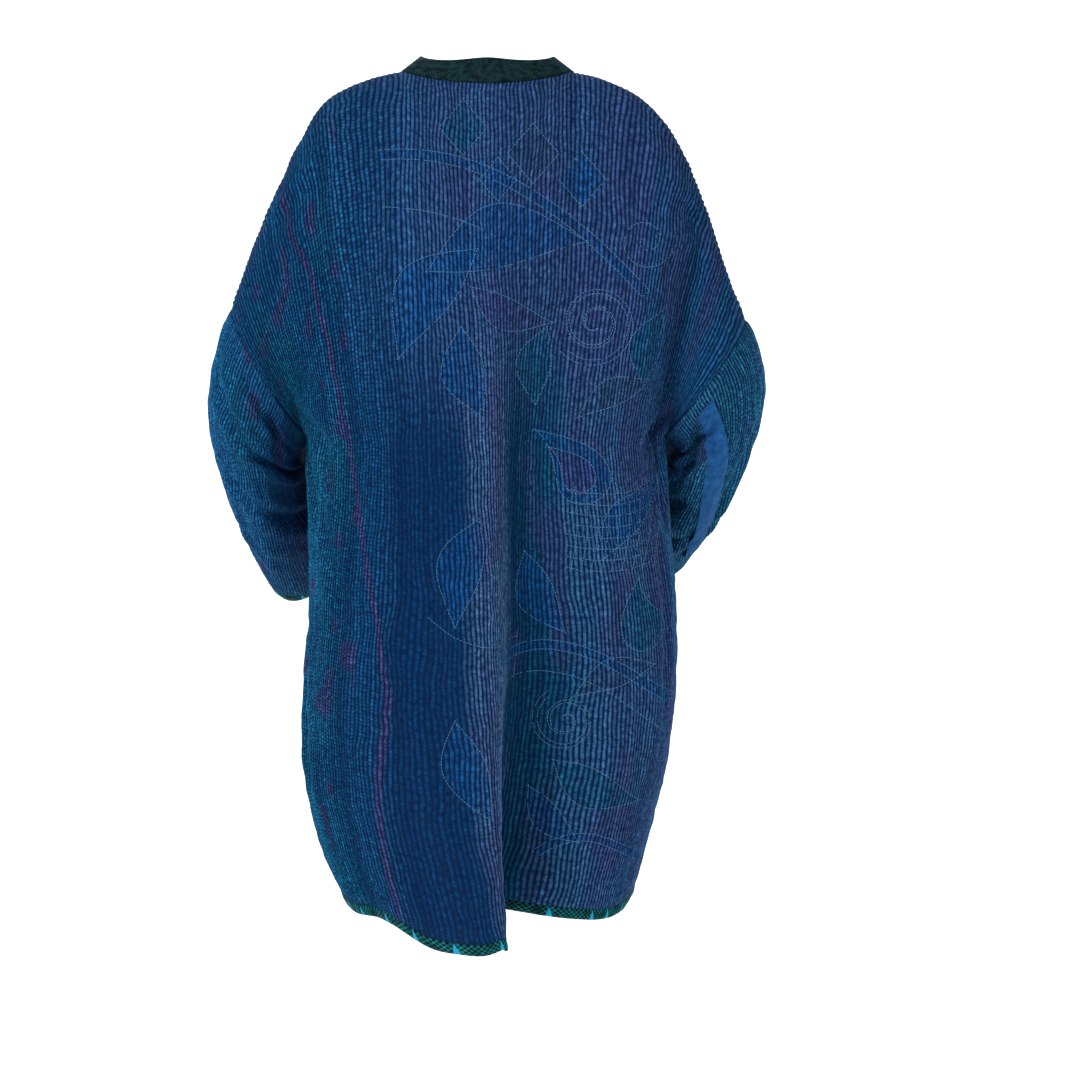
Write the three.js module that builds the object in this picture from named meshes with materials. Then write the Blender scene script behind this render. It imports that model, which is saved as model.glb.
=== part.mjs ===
// Haori: a long, wide coat of stitched cotton layers, in the shape it keeps when worn.
// Millimetres, +Z up, the back towards +Y, the wearer's left towards +X.
// The origin is between the shoulders, at the level where the neck meets them.

import * as THREE from 'three';
import { mergeVertices } from 'three/addons/utils/BufferGeometryUtils.js';

// Cloth
const WALL = 2.4;               // thickness of the stitched layers
const SEAM_GAP = 0.3;           // space left between two sewn pieces
const ROW_HALF_COUNT = 74;      // stitch rows from the centre back to the side seam
const ROWS_PER_RIDGE = 4;       // one raised rib stands for this many stitch rows
const RIB_HEIGHT = 1.2;         // how far a rib stands above the stitch line
const BINDING = 13;             // width of the hem and cuff bindings
const BINDING_WALL = 2.2;

// Neck and armholes
const NECK_SHARE = 0.284;       // share of the half panel's rows that end at the neckline
const NECK_DEPTH = 42;          // how far the nape sits behind the shoulder line
const NECK_DROP = 10;           // how far the nape sits below it
const ARMHOLE_DEPTH = 67;       // half the armhole's depth, front to back
const NAPE_BULGE = 8;           // fullness of the upper back at its centre
const UNDERARM_Z = -385;        // level where the upper zone ends
const UPPER_SHARE = 0.42;       // share of a panel's length above that level
const HEM_Z = -914;
const PANEL_LENGTH = 1000;      // from the shoulder line to the hem, along the cloth

// Collar
const COLLAR_WIDTH = 52;        // down the fronts
const COLLAR_NAPE = 24;         // height left standing round the neck
const NECK_PART = 0.13;         // share of the band's length that goes round the neck
const COLLAR_SEAM = 0.8;        // the band starts this far from the panels' edge
const COLLAR_RISE = 0.8;        // from this share of a front's length up, the band starts to stand
const COLLAR_TILT = 0.12;       // how far the band leans forward down the fronts
// How the standing band leans: backwards and upwards, at the sides of the neck and at the nape
const COLLAR_LEAN = { sideBack: 0.1, sideUp: 0.75, napeBack: -0.3, napeUp: 1 };
const FRONT_EDGE_CHEST = 76;    // distance of a front's edge from the centre, at underarm level
const FRONT_EDGE_HEM = 66;      // the same at the hem

// The shoulder line from the neck (at 0) to the armhole's top (at 1)
const SHOULDER = [
  { at: 0.0, leftX: 88, leftZ: 0, rightX: 88, rightZ: -1 },
  { at: 0.12, leftX: 126, leftZ: -9, rightX: 122, rightZ: -9 },
  { at: 0.27, leftX: 170, leftZ: -31, rightX: 165, rightZ: -31 },
  { at: 0.43, leftX: 198, leftZ: -73, rightX: 199, rightZ: -71 },
  { at: 0.63, leftX: 229, leftZ: -135, rightX: 227, rightZ: -134 },
  { at: 0.9, leftX: 264, leftZ: -219, rightX: 260, rightZ: -224 },
  { at: 1.0, leftX: 276, leftZ: -249, rightX: 276, rightZ: -262 },
];

// Rings of the body from the underarm (at 0) to the hem (at 1). Each half ring is an arc about
// a middle line: half widths, depths behind and in front, and how far round the side seam sits.
const BODY = [
  { at: 0.0, left: 199, right: 190, middleY: -5, back: 123, front: 108, seam: 90 },
  { at: 0.12, left: 198, right: 194, middleY: -3, back: 125, front: 110, seam: 92 },
  { at: 0.35, left: 199, right: 204, middleY: 4, back: 130, front: 120, seam: 101 },
  { at: 0.52, left: 206, right: 206, middleY: 4, back: 134, front: 128, seam: 104 },
  { at: 0.7, left: 209, right: 197, middleY: 2, back: 134, front: 130, seam: 102 },
  { at: 0.86, left: 195, right: 178, middleY: 0, back: 131, front: 128, seam: 98 },
  { at: 1.0, left: 167, right: 160, middleY: 0, back: 128, front: 124, seam: 95 },
];
const BOXINESS = 0.08;          // how much squarer than an ellipse the rings are
const CENTRE_SPREAD = 0.9;      // rows lie this much wider apart at the centre than evenly

// The deep pleat down the centre back: its left side lies over its right side
const PLEAT = {
  atTop: -0.08,                 // its place across the back where it begins
  atHem: -0.02,                 // and at the hem
  width: 0.16,
  top: -150,                    // level where it begins
  over: 50,                     // how far its sides slide over each other
  lift: 50,                     // how far the upper side stands out behind
  drop: 11,                     // and hangs lower
  growth: 1.05,
};

// How the hem hangs beside the pleat: place across the back, half width, and depth downwards
const HEM_SAGS = [
  { at: 0.31, width: 0.08, deep: 12 },
  { at: 0.12, width: 0.06, deep: -14 },
];
const HEM_SAG_GROWTH = 4;

// Soft folds: 'at' is the place across a panel (1 is the side), 'width' its half width there,
// from 'top' to 'low', with 'deep' the depth inwards (negative stands out).
const BACK_FOLDS = [
  { at: 0.52, width: 0.1, top: -90, low: -1100, deep: 15 },
  { at: 0.3, width: 0.1, top: -330, low: -1100, deep: 8 },
  { at: 0.8, width: 0.1, top: -330, low: -800, deep: 12 },
  { at: -0.74, width: 0.085, top: -60, low: -520, deep: 24 },
  { at: -0.55, width: 0.12, top: -60, low: -560, deep: -9 },
  { at: -0.42, width: 0.12, top: -420, low: -1100, deep: 9 },
  { at: -0.83, width: 0.09, top: -520, low: -1100, deep: 9 },
];
const FRONT_FOLDS = [
  { at: 0.3, width: 0.16, top: -140, low: -1100, deep: -9 },
  { at: 0.58, width: 0.13, top: -200, low: -1100, deep: 15 },
  { at: 0.85, width: 0.12, top: -430, low: -1100, deep: -9 },
];
const FOLD_EASE = 150;          // length over which a fold dies away at its ends
const FOLD_SIDE_ROOM = 0.12;    // share of a panel beside the side seam that folds leave flat
const FOLD_TOP_ROOM = 0.35;     // share of the upper zone in which folds begin

// How the cloth faces at the armhole: at its top (x, z), and how far it swings at mid height
const ARMHOLE_TOP_FACING = { x: 0.92, z: 0.38 };
const ARMHOLE_SWING = 0.9;

// Sections of the sleeves from the armhole to the cuff: the centre, the arm to the outer line
// (out), and the arm to the back line (down). X is measured away from the body's centre.
const LEFT_SLEEVE = [
  { at: 0.0, x: 237.5, y: -2.5, z: -317, outX: 38.5, outY: 2.5, outZ: 68, downX: 0, downY: 67, downZ: 0 },
  { at: 0.14, x: 248, y: -12, z: -343, outX: 43, outY: 5, outZ: 59, downX: 0, downY: 73, downZ: -4 },
  { at: 0.3, x: 258, y: -24, z: -378, outX: 48, outY: 5, outZ: 34, downX: -2, downY: 80, downZ: -16 },
  { at: 0.48, x: 255, y: -52, z: -418, outX: 50, outY: 6, outZ: 12, downX: -4, downY: 81, downZ: -36 },
  { at: 0.66, x: 243, y: -93, z: -457, outX: 50, outY: 8, outZ: 6, downX: 4, downY: 68, downZ: -60 },
  { at: 0.83, x: 231, y: -143, z: -493, outX: 49, outY: 9, outZ: 8, downX: 14, downY: 44, downZ: -76 },
  { at: 1.0, x: 218, y: -194, z: -528, outX: 46, outY: 10, outZ: 14, downX: 26, downY: 24, downZ: -84 },
];
const RIGHT_SLEEVE = [
  { at: 0.0, x: 233, y: -2.5, z: -323.5, outX: 43, outY: 2.5, outZ: 61.5, downX: 0, downY: 67, downZ: 0 },
  { at: 0.14, x: 246, y: -14, z: -346, outX: 45, outY: 5, outZ: 55, downX: 0, downY: 73, downZ: -4 },
  { at: 0.3, x: 252, y: -30, z: -376, outX: 48, outY: 5, outZ: 30, downX: -4, downY: 79, downZ: -17 },
  { at: 0.48, x: 238, y: -60, z: -414, outX: 50, outY: 6, outZ: 8, downX: -6, downY: 79, downZ: -38 },
  { at: 0.66, x: 218, y: -104, z: -452, outX: 50, outY: 10, outZ: 2, downX: 0, downY: 64, downZ: -62 },
  { at: 0.83, x: 199, y: -156, z: -486, outX: 48, outY: 14, outZ: 4, downX: 6, downY: 42, downZ: -76 },
  { at: 1.0, x: 175, y: -205, z: -514, outX: 45, outY: 18, outZ: 8, downX: 12, downY: 24, downZ: -82 },
];
const SLEEVE_FOLDS = [
  { turn: 118, width: 20, from: 0.0, to: 0.75, deep: 9 },
  { turn: 62, width: 16, from: 0.25, to: 0.9, deep: 7 },
  { turn: 285, width: 24, from: 0.2, to: 0.8, deep: 8 },
];
const SLEEVE_EASE = 0.2;        // share of the sleeve over which a fold dies away
const SLEEVE_RADIUS = 70;       // a sleeve's usual half width
const SLEEVE_LENGTH = 330;

// The smooth strip on the back of the right sleeve: the turn of its middle at its two ends, where
// its slant ends, its half width in degrees, and where it begins and ends along the sleeve
const PATCH = { turnTop: 105, turnLow: 74, slant: 0.85, half: 11, from: 0.06, to: 0.74, wall: 1.4, lift: 1.6 };

const STEP = 1e-3;              // small step for reading the way a surface faces

const clamp = (value, low = 0, high = 1) => Math.min(high, Math.max(low, value));
const mix = (a, b, share) => a + (b - a) * share;
const radians = (degrees) => (degrees * Math.PI) / 180;
const smooth = (value) => {
  const t = clamp(value);
  return t * t * (3 - 2 * t);
};

// A column of a table at a place between its rows, on a smooth curve through them.
function column(table, key, place) {
  const at = clamp(place);
  let i = 0;
  while (i < table.length - 2 && at > table[i + 1].at) {
    i += 1;
  }
  const slope = (k) => {
    const before = table[Math.max(k - 1, 0)];
    const after = table[Math.min(k + 1, table.length - 1)];
    return (after[key] - before[key]) / (after.at - before.at);
  };
  const span = table[i + 1].at - table[i].at;
  const t = (at - table[i].at) / span;
  const rise = t * t * (3 - 2 * t);
  return table[i][key] * (1 - rise) + table[i + 1][key] * rise
    + span * slope(i) * t * (1 - t) * (1 - t) - span * slope(i + 1) * t * t * (1 - t);
}

// The upper edge of the body at a share of its half width: the neckline, then the shoulder line.
function topEdge(share, side) {
  const names = side > 0 ? ['leftX', 'leftZ'] : ['rightX', 'rightZ'];
  if (share >= NECK_SHARE) {
    const at = (share - NECK_SHARE) / (1 - NECK_SHARE);
    return { x: column(SHOULDER, names[0], at), y: 0, z: column(SHOULDER, names[1], at) };
  }
  const q = share / NECK_SHARE;
  const dip = (1 - q * q) ** 0.6;
  return { x: q * SHOULDER[0][names[0]], y: NECK_DEPTH * dip, z: -NECK_DROP * dip };
}

// A point of a body ring: the turn is 0 at the centre back, 90 at the side, 180 at the front.
function ringPoint(turn, side, at) {
  const width = column(BODY, side > 0 ? 'left' : 'right', at);
  const depth = column(BODY, turn < Math.PI / 2 ? 'back' : 'front', at);
  return {
    x: width * Math.sin(turn) * (1 + BOXINESS * Math.cos(turn) ** 2),
    y: column(BODY, 'middleY', at) + depth * Math.cos(turn),
    z: mix(UNDERARM_Z, HEM_Z, at),
  };
}

const seamTurn = (at) => radians(column(BODY, 'seam', at));
const backTurn = (share, at) => (CENTRE_SPREAD * share + (1 - CENTRE_SPREAD) * share ** 3) * seamTurn(at);

function frontTurn(share, side, at) {
  const width = column(BODY, side > 0 ? 'left' : 'right', at);
  const edge = mix(FRONT_EDGE_CHEST, FRONT_EDGE_HEM, at);
  const edgeTurn = Math.PI - Math.asin(edge / (width * (1 + BOXINESS)));
  return mix(edgeTurn, seamTurn(at), share);
}

// The upper zone runs from the top edge to the underarm ring. A row leaves the shoulder line
// level, and near the armhole it follows half of the armhole's oval. At the neck it falls
// straight from the neckline. The bulge is how far a row swings out on its way.
function upperPoint(top, ring, share, level, facing) {
  const half = (1 - Math.cos(Math.PI * level)) / 2;
  const oval = share ** 8;
  const fall = mix(mix(level * level, half, 0.55), half, oval);
  const along = mix(level, fall, smooth(share / NECK_SHARE));
  const back = mix(Math.sin((Math.PI * level) / 2), half, share ** 1.2);
  const swing = mix(6.75 * level * (1 - level) ** 2, Math.sin(Math.PI * level), oval);
  const bulge = mix(NAPE_BULGE, ARMHOLE_DEPTH, share ** 1.6);
  return {
    x: mix(top.x, ring.x, along),
    y: mix(top.y, ring.y, back) + facing * bulge * swing,
    z: mix(top.z, ring.z, along),
  };
}

// The way the cloth faces along the armhole and the side seam, shared by the back (facing 1)
// and the front (facing -1) so that their edges lie face to face.
function seamNormal(side, v, facing) {
  const { upper, lower } = zone(v);
  if (upper < 1) {
    const sideways = mix(ARMHOLE_TOP_FACING.x, 1, upper);
    const upwards = mix(ARMHOLE_TOP_FACING.z, 0, upper);
    const outwards = ARMHOLE_SWING * Math.sin(Math.PI * upper) * facing;
    return new THREE.Vector3(side * sideways, outwards, upwards).normalize();
  }
  const turn = seamTurn(lower);
  const [a, b] = [ringPoint(turn - STEP, side, lower), ringPoint(turn + STEP, side, lower)];
  return new THREE.Vector3(side * (a.y - b.y), b.x - a.x, 0).normalize();
}

// Folds die away at their ends, at the side seams and just below the shoulder line.
function foldDepth(folds, at, z, upper) {
  const room = smooth((1 - Math.abs(at)) / FOLD_SIDE_ROOM) * smooth(upper / FOLD_TOP_ROOM);
  let depth = 0;
  for (const fold of folds) {
    const across = Math.exp(-(((at - fold.at) / fold.width) ** 2));
    const along = smooth((fold.top - z) / FOLD_EASE) * smooth((z - fold.low) / FOLD_EASE);
    depth += fold.deep * across * along * room;
  }
  return depth;
}

// The levels in the upper and the lower zone at a share of a panel's length.
function zone(v) {
  const upper = Math.min(v / UPPER_SHARE, 1);
  const lower = Math.max((v - UPPER_SHARE) / (1 - UPPER_SHARE), 0);
  return { upper, lower };
}

function backPoint(s, v) {
  const side = s < 0 ? -1 : 1;
  const share = Math.abs(s);
  const { upper, lower } = zone(v);
  let point = ringPoint(backTurn(share, lower), side, lower);
  if (upper < 1) {
    point = upperPoint(topEdge(share, side), point, share, upper, 1);
  }
  const grown = clamp((PLEAT.top - point.z) / (PLEAT.top - HEM_Z)) ** PLEAT.growth;
  const t = (s - mix(PLEAT.atTop, PLEAT.atHem, grown)) / PLEAT.width;
  const sway = grown * t * Math.exp((1 - t * t) / 2);
  const x = side * point.x - PLEAT.over * sway;
  const y = point.y + PLEAT.lift * sway - foldDepth(BACK_FOLDS, s, point.z, upper);
  let hang = 0;
  for (const sag of HEM_SAGS) {
    hang += sag.deep * Math.exp(-(((s - sag.at) / sag.width) ** 2));
  }
  const z = point.z - PLEAT.drop * sway - hang * grown ** HEM_SAG_GROWTH;
  return new THREE.Vector3(x, y + SEAM_GAP / 2, z);
}

function frontPoint(side, s, v) {
  const { upper, lower } = zone(v);
  let point = ringPoint(frontTurn(s, side, lower), side, lower);
  if (upper < 1) {
    const share = mix(NECK_SHARE, 1, s);
    point = upperPoint(topEdge(share, side), point, share, upper, -1);
  }
  const y = point.y + foldDepth(FRONT_FOLDS, s, point.z, upper);
  return new THREE.Vector3(side * point.x, y - SEAM_GAP / 2, point.z);
}

// A point of a sleeve: the turn is 0 on the outer line, 90 at the back, 180 against the body.
function sleevePoint(side, turn, v) {
  const table = side > 0 ? LEFT_SLEEVE : RIGHT_SLEEVE;
  const get = (key) => column(table, key, v);
  let deep = 0;
  for (const fold of SLEEVE_FOLDS) {
    const away = ((turn - fold.turn + 540) % 360) - 180;
    const across = Math.exp(-((away / fold.width) ** 2));
    deep += fold.deep * across * smooth((v - fold.from) / SLEEVE_EASE) * smooth((fold.to - v) / SLEEVE_EASE);
  }
  const a = Math.cos(radians(turn));
  const b = Math.sin(radians(turn));
  const reach = 1 - deep / SLEEVE_RADIUS;
  const gap = armholeAxis(table).multiplyScalar(SEAM_GAP * (1 - v));
  const x = get('x') + reach * (get('outX') * a + get('downX') * b) + gap.x;
  const y = get('y') + reach * (get('outY') * a + get('downY') * b) + gap.y;
  const z = get('z') + reach * (get('outZ') * a + get('downZ') * b) + gap.z;
  return new THREE.Vector3(side * x, y, z);
}

const arm = (row, word) => new THREE.Vector3(row[`${word}X`], row[`${word}Y`], row[`${word}Z`]);

// The way the armhole faces, away from the body.
function armholeAxis(table) {
  return arm(table[0], 'down').cross(arm(table[0], 'out')).normalize();
}

// At the armhole the sleeve's wall lies in the armhole's own plane.
function armholeNormal(side, turn) {
  const row = (side > 0 ? LEFT_SLEEVE : RIGHT_SLEEVE)[0];
  const out = arm(row, 'out').multiplyScalar(Math.cos(radians(turn)) / arm(row, 'out').lengthSq());
  const down = arm(row, 'down').multiplyScalar(Math.sin(radians(turn)) / arm(row, 'down').lengthSq());
  const normal = out.add(down).normalize();
  return new THREE.Vector3(side * normal.x, normal.y, normal.z);
}

// A closed wall over a grid of points. point(u, v) gives the outer face and must turn so that
// u across v faces outwards. The outer face has two columns for each rib, the inner face one.
// 'places' are the rings' places along v. edge(u, v) may give the way the cloth faces at a seam.
function wall({ point, ribs, places, thickness = WALL, round = false, ribHeight = 0, lift = 0, edge }) {
  const rings = places.length - 1;
  const outward = (u, v) => {
    const given = edge && edge(u, v);
    if (given) {
      return given;
    }
    const uLow = round ? u - STEP : Math.max(u - STEP, 0);
    const uHigh = round ? u + STEP : Math.min(u + STEP, 1);
    const across = point(uHigh, v).sub(point(uLow, v));
    const down = point(u, Math.min(v + STEP, 1)).sub(point(u, Math.max(v - STEP, 0)));
    return across.cross(down).normalize();
  };
  const outerColumns = ribs * 2;
  const innerColumns = ribs;
  const outer = [];
  const inner = [];
  const positions = [];
  const add = (p) => positions.push(p.x, p.y, p.z) / 3 - 1;
  for (let r = 0; r <= rings; r += 1) {
    const v = places[r];
    const outerRing = [];
    const innerRing = [];
    for (let c = 0; c < outerColumns + (round ? 0 : 1); c += 1) {
      const u = c / outerColumns;
      const atSeam = r === 0 || r === rings || (!round && (c === 1 || c === outerColumns - 1));
      const height = c % 2 === 1 && !atSeam ? ribHeight : 0;
      outerRing.push(add(point(u, v).addScaledVector(outward(u, v), height + lift)));
    }
    for (let c = 0; c < innerColumns + (round ? 0 : 1); c += 1) {
      const u = c / innerColumns;
      innerRing.push(add(point(u, v).addScaledVector(outward(u, v), lift - thickness)));
    }
    outer.push(outerRing);
    inner.push(innerRing);
  }
  const faces = [];
  const skin = (grid, columns, flip) => {
    for (let r = 0; r < rings; r += 1) {
      for (let c = 0; c < columns; c += 1) {
        const next = round ? (c + 1) % columns : c + 1;
        const corners = [grid[r][c], grid[r][next], grid[r + 1][next], grid[r + 1][c]];
        const [a, b, d, e] = flip ? [...corners].reverse() : corners;
        faces.push(a, e, d, a, d, b);
      }
    }
  };
  skin(outer, outerColumns, false);
  skin(inner, innerColumns, true);
  const rim = (outerRing, innerRing, flip) => {
    for (let c = 0; c < innerColumns; c += 1) {
      const nextInner = round ? (c + 1) % innerColumns : c + 1;
      const nextOuter = round ? (2 * c + 2) % outerColumns : 2 * c + 2;
      const o = [outerRing[2 * c], outerRing[2 * c + 1], outerRing[nextOuter]];
      const i = [innerRing[c], innerRing[nextInner]];
      const strip = [[o[0], o[1], i[0]], [o[1], i[1], i[0]], [o[1], o[2], i[1]]];
      for (const [a, b, d] of strip) {
        faces.push(...(flip ? [a, b, d] : [a, d, b]));
      }
    }
  };
  rim(outer[0], inner[0], true);
  rim(outer[rings], inner[rings], false);
  if (!round) {
    for (let r = 0; r < rings; r += 1) {
      faces.push(outer[r][0], inner[r][0], inner[r + 1][0], outer[r][0], inner[r + 1][0], outer[r + 1][0]);
      const o = outerColumns;
      const i = innerColumns;
      faces.push(outer[r][o], inner[r + 1][i], inner[r][i], outer[r][o], outer[r + 1][o], inner[r + 1][i]);
    }
  }
  return solid(positions, faces);
}

const evenly = (from, to, count) => Array.from({ length: count + 1 }, (_, i) => mix(from, to, i / count));

// A geometry from points and faces, turned outwards if its volume comes out negative.
function solid(positions, faces) {
  const at = (index) => new THREE.Vector3().fromArray(positions, 3 * index);
  let volume = 0;
  for (let f = 0; f < faces.length; f += 3) {
    volume += at(faces[f]).dot(at(faces[f + 1]).cross(at(faces[f + 2])));
  }
  const turned = [];
  for (let f = 0; f < faces.length; f += 3) {
    const [a, b, c] = faces.slice(f, f + 3);
    turned.push(...(volume < 0 ? [a, c, b] : [a, b, c]));
  }
  const geometry = new THREE.BufferGeometry();
  geometry.setAttribute('position', new THREE.Float32BufferAttribute(positions, 3));
  geometry.setIndex(turned);
  return mergeVertices(geometry, 1e-3);
}

const cloth = (color, roughness) => new THREE.MeshStandardMaterial({ color, roughness, metalness: 0 });

const haori = new THREE.Group();

function piece(name, geometry, color) {
  const mesh = new THREE.Mesh(geometry, cloth(color, 0.9));
  mesh.name = name;
  haori.add(mesh);
}

const INDIGO = 0x1f3f6c;
const BLUE = 0x1a4676;
const EDGING = 0x0e3a40;
const PLAIN_BLUE = 0x21588c;

const UPPER_RINGS = 8;
const LOWER_RINGS = 10;
const bindingShare = BINDING / PANEL_LENGTH;
const gapShare = SEAM_GAP / PANEL_LENGTH;
const hemSeam = 1 - bindingShare - gapShare;
const upperPlaces = evenly(0, UPPER_SHARE, UPPER_RINGS);
const panelPlaces = [...upperPlaces, ...evenly(UPPER_SHARE, hemSeam, LOWER_RINGS).slice(1)];
const backRibs = Math.round((2 * ROW_HALF_COUNT) / ROWS_PER_RIDGE);
const frontRibs = Math.round((ROW_HALF_COUNT * (1 - NECK_SHARE)) / ROWS_PER_RIDGE);

function bodyPanel(name, shape) {
  piece(name, wall({ ...shape, places: panelPlaces, ribHeight: RIB_HEIGHT }), INDIGO);
}

function hemBand(name, shape) {
  piece(name, wall({ ...shape, places: [1 - bindingShare, 1], thickness: BINDING_WALL }), EDGING);
}

const backShape = {
  point: (u, v) => backPoint(mix(-1, 1, u), v),
  edge: (u, v) => (u === 0 || u === 1 ? seamNormal(2 * u - 1, v, 1) : null),
  ribs: backRibs,
};
bodyPanel('back_panel', backShape);
hemBand('hem_band_back', backShape);

// The fronts run from the side seam to the front edge on one side and back on the other, so
// that both face outwards.
for (const [word, side] of [['left', 1], ['right', -1]]) {
  const across = (u) => (side > 0 ? 1 - u : u);
  const frontShape = {
    point: (u, v) => frontPoint(side, across(u), v),
    edge: (u, v) => (across(u) === 1 ? seamNormal(side, v, -1) : null),
    ribs: frontRibs,
  };
  bodyPanel(`front_panel_${word}`, frontShape);
  hemBand(`hem_band_${word}`, frontShape);
}

// Sleeves with their cuff bindings
const SLEEVE_RIBS = 27;
const SLEEVE_RINGS = 10;
const cuffShare = BINDING / SLEEVE_LENGTH;
const sleeveGap = SEAM_GAP / SLEEVE_LENGTH;
for (const [word, side] of [['left', 1], ['right', -1]]) {
  const turnAt = (u) => (side > 0 ? 360 * (1 - u) : 360 * u);
  const shape = {
    point: (u, v) => sleevePoint(side, turnAt(u), v),
    edge: (u, v) => (v === 0 ? armholeNormal(side, turnAt(u)) : null),
    ribs: SLEEVE_RIBS,
    round: true,
  };
  const places = evenly(0, 1 - cuffShare - sleeveGap, SLEEVE_RINGS);
  piece(`sleeve_${word}`, wall({ ...shape, places, ribHeight: RIB_HEIGHT }), BLUE);
  piece(`cuff_band_${word}`, wall({ ...shape, places: [1 - cuffShare, 1], thickness: BINDING_WALL }), EDGING);
}

// The smooth strip lies on the right sleeve's ribs, moved out from the sleeve's own points.
function patchAt(u, v) {
  const middle = mix(PATCH.turnTop, PATCH.turnLow, smooth(v / PATCH.slant));
  return sleevePoint(-1, middle + mix(-PATCH.half, PATCH.half, u), mix(PATCH.from, PATCH.to, v));
}
const patchLift = RIB_HEIGHT + SEAM_GAP + PATCH.wall + PATCH.lift;
const patchPlaces = evenly(0, 1, 10);
const patchShape = { point: patchAt, ribs: 2, places: patchPlaces, thickness: PATCH.wall, lift: patchLift };
piece('sleeve_patch_right', wall(patchShape), PLAIN_BLUE);

// The collar band's inner edge follows the fronts' edges and the neckline, from the left hem to
// the right hem. Its free edge lies towards the centre in front and stands up at the nape.
function collarLine(at) {
  const half = (1 - NECK_PART) / 2;
  if (at < half) {
    return frontPoint(1, 0, 1 - at / half);
  }
  if (at > 1 - half) {
    return frontPoint(-1, 0, 1 - (1 - at) / half);
  }
  const s = mix(NECK_SHARE, -NECK_SHARE, (at - half) / NECK_PART);
  return backPoint(s, 0);
}

function collarPoint(u, v) {
  const half = (1 - NECK_PART) / 2;
  const side = u < 0.5 ? 1 : -1;
  const down = clamp(Math.min(u, 1 - u) / half);
  const round = Math.PI * clamp((u - half) / NECK_PART);
  const nape = Math.sin(round);
  const flat = new THREE.Vector3(-side, -COLLAR_TILT, 0).normalize();
  const backwards = mix(COLLAR_LEAN.sideBack, COLLAR_LEAN.napeBack, nape);
  const upwards = mix(COLLAR_LEAN.sideUp, COLLAR_LEAN.napeUp, nape);
  const standing = new THREE.Vector3(-Math.cos(round), backwards, upwards).normalize();
  const stand = smooth((down - COLLAR_RISE) / (1 - COLLAR_RISE));
  const direction = flat.lerp(standing, stand).normalize();
  const width = mix(COLLAR_WIDTH, COLLAR_NAPE, stand);
  return collarLine(u).addScaledVector(direction, mix(COLLAR_SEAM, width, 1 - v));
}

// The band is pieced below the neck on each side: a neck part between two long front parts.
const COLLAR_JOIN = 0.4;        // share of the band's length from each hem up to the join
const COLLAR_LENGTH = 2100;     // the whole band along its seam
const joinGap = SEAM_GAP / 2 / COLLAR_LENGTH;
const COLLAR_PARTS = [
  { name: 'collar_front_left', from: 0, to: COLLAR_JOIN - joinGap, ribs: 18 },
  { name: 'collar_neck', from: COLLAR_JOIN + joinGap, to: 1 - COLLAR_JOIN - joinGap, ribs: 16 },
  { name: 'collar_front_right', from: 1 - COLLAR_JOIN + joinGap, to: 1, ribs: 18 },
];
for (const { name, from, to, ribs } of COLLAR_PARTS) {
  const point = (u, v) => collarPoint(mix(from, to, u), v);
  piece(name, wall({ point, ribs, places: [0, 0.5, 1] }), EDGING);
}

export default haori;
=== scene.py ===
# %% [markdown]
# This notebook dresses a haori: a long, wide coat of several cotton layers, stitched together row by
# row and dyed indigo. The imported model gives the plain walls, and each is replaced here by the same wall
# with every stitch row, thread and colour. The coat keeps the shape that it has when worn.

# %% Load the frame
import math

import bmesh
import bpy
import numpy as np
from mathutils import Matrix, Vector


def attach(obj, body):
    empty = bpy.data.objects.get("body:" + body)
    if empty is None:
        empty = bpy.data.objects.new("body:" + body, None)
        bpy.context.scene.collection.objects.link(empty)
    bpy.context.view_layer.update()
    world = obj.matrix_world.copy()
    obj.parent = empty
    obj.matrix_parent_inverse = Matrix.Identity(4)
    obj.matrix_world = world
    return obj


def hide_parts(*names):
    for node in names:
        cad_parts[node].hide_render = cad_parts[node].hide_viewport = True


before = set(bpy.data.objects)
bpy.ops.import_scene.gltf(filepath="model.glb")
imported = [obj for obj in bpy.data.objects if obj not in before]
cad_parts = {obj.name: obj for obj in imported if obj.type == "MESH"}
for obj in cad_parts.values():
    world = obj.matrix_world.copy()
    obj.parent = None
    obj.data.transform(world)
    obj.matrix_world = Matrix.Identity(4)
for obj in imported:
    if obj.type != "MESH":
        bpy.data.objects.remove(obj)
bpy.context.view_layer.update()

print("nodes:", sorted(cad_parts))

# %% [markdown]
# Colours are written as they look on a screen, in sRGB hex. Shaders reckon in linear light, so one
# function turns them. Sizes are in millimetres, and become metres when a mesh is made.

# %% Colour and small curves
MM = 0.001


def linear(hex_colour):
    """A screen colour such as "#1f3f6c" as four linear numbers."""
    channels = [int(hex_colour[i:i + 2], 16) / 255 for i in (1, 3, 5)]
    return (*[c / 12.92 if c <= 0.04045 else ((c + 0.055) / 1.055) ** 2.4 for c in channels], 1.0)


def mix(a, b, share):
    return a + (b - a) * share


def smooth(value):
    t = np.clip(value, 0, 1)
    return t * t * (3 - 2 * t)


def lumps(x, y, seed):
    """Soft hills and hollows from -1 to 1, one for each unit of x and y, the same on each run."""
    heights = np.random.default_rng(seed).uniform(-1, 1, (64, 64))
    x, y = np.broadcast_arrays(np.asarray(x, float), np.asarray(y, float))
    column, row = np.floor(x).astype(int), np.floor(y).astype(int)
    fx, fy = smooth(x - column), smooth(y - row)
    near = mix(heights[column % 64, row % 64], heights[(column + 1) % 64, row % 64], fx)
    far = mix(heights[column % 64, (row + 1) % 64], heights[(column + 1) % 64, (row + 1) % 64], fx)
    return mix(near, far, fy)


def points(*parts):
    """Coordinates, each an array or one number, put together as points."""
    return np.stack(np.broadcast_arrays(*parts), -1)


def unit(vectors):
    return vectors / np.maximum(np.linalg.norm(vectors, axis=-1, keepdims=True), 1e-12)


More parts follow.
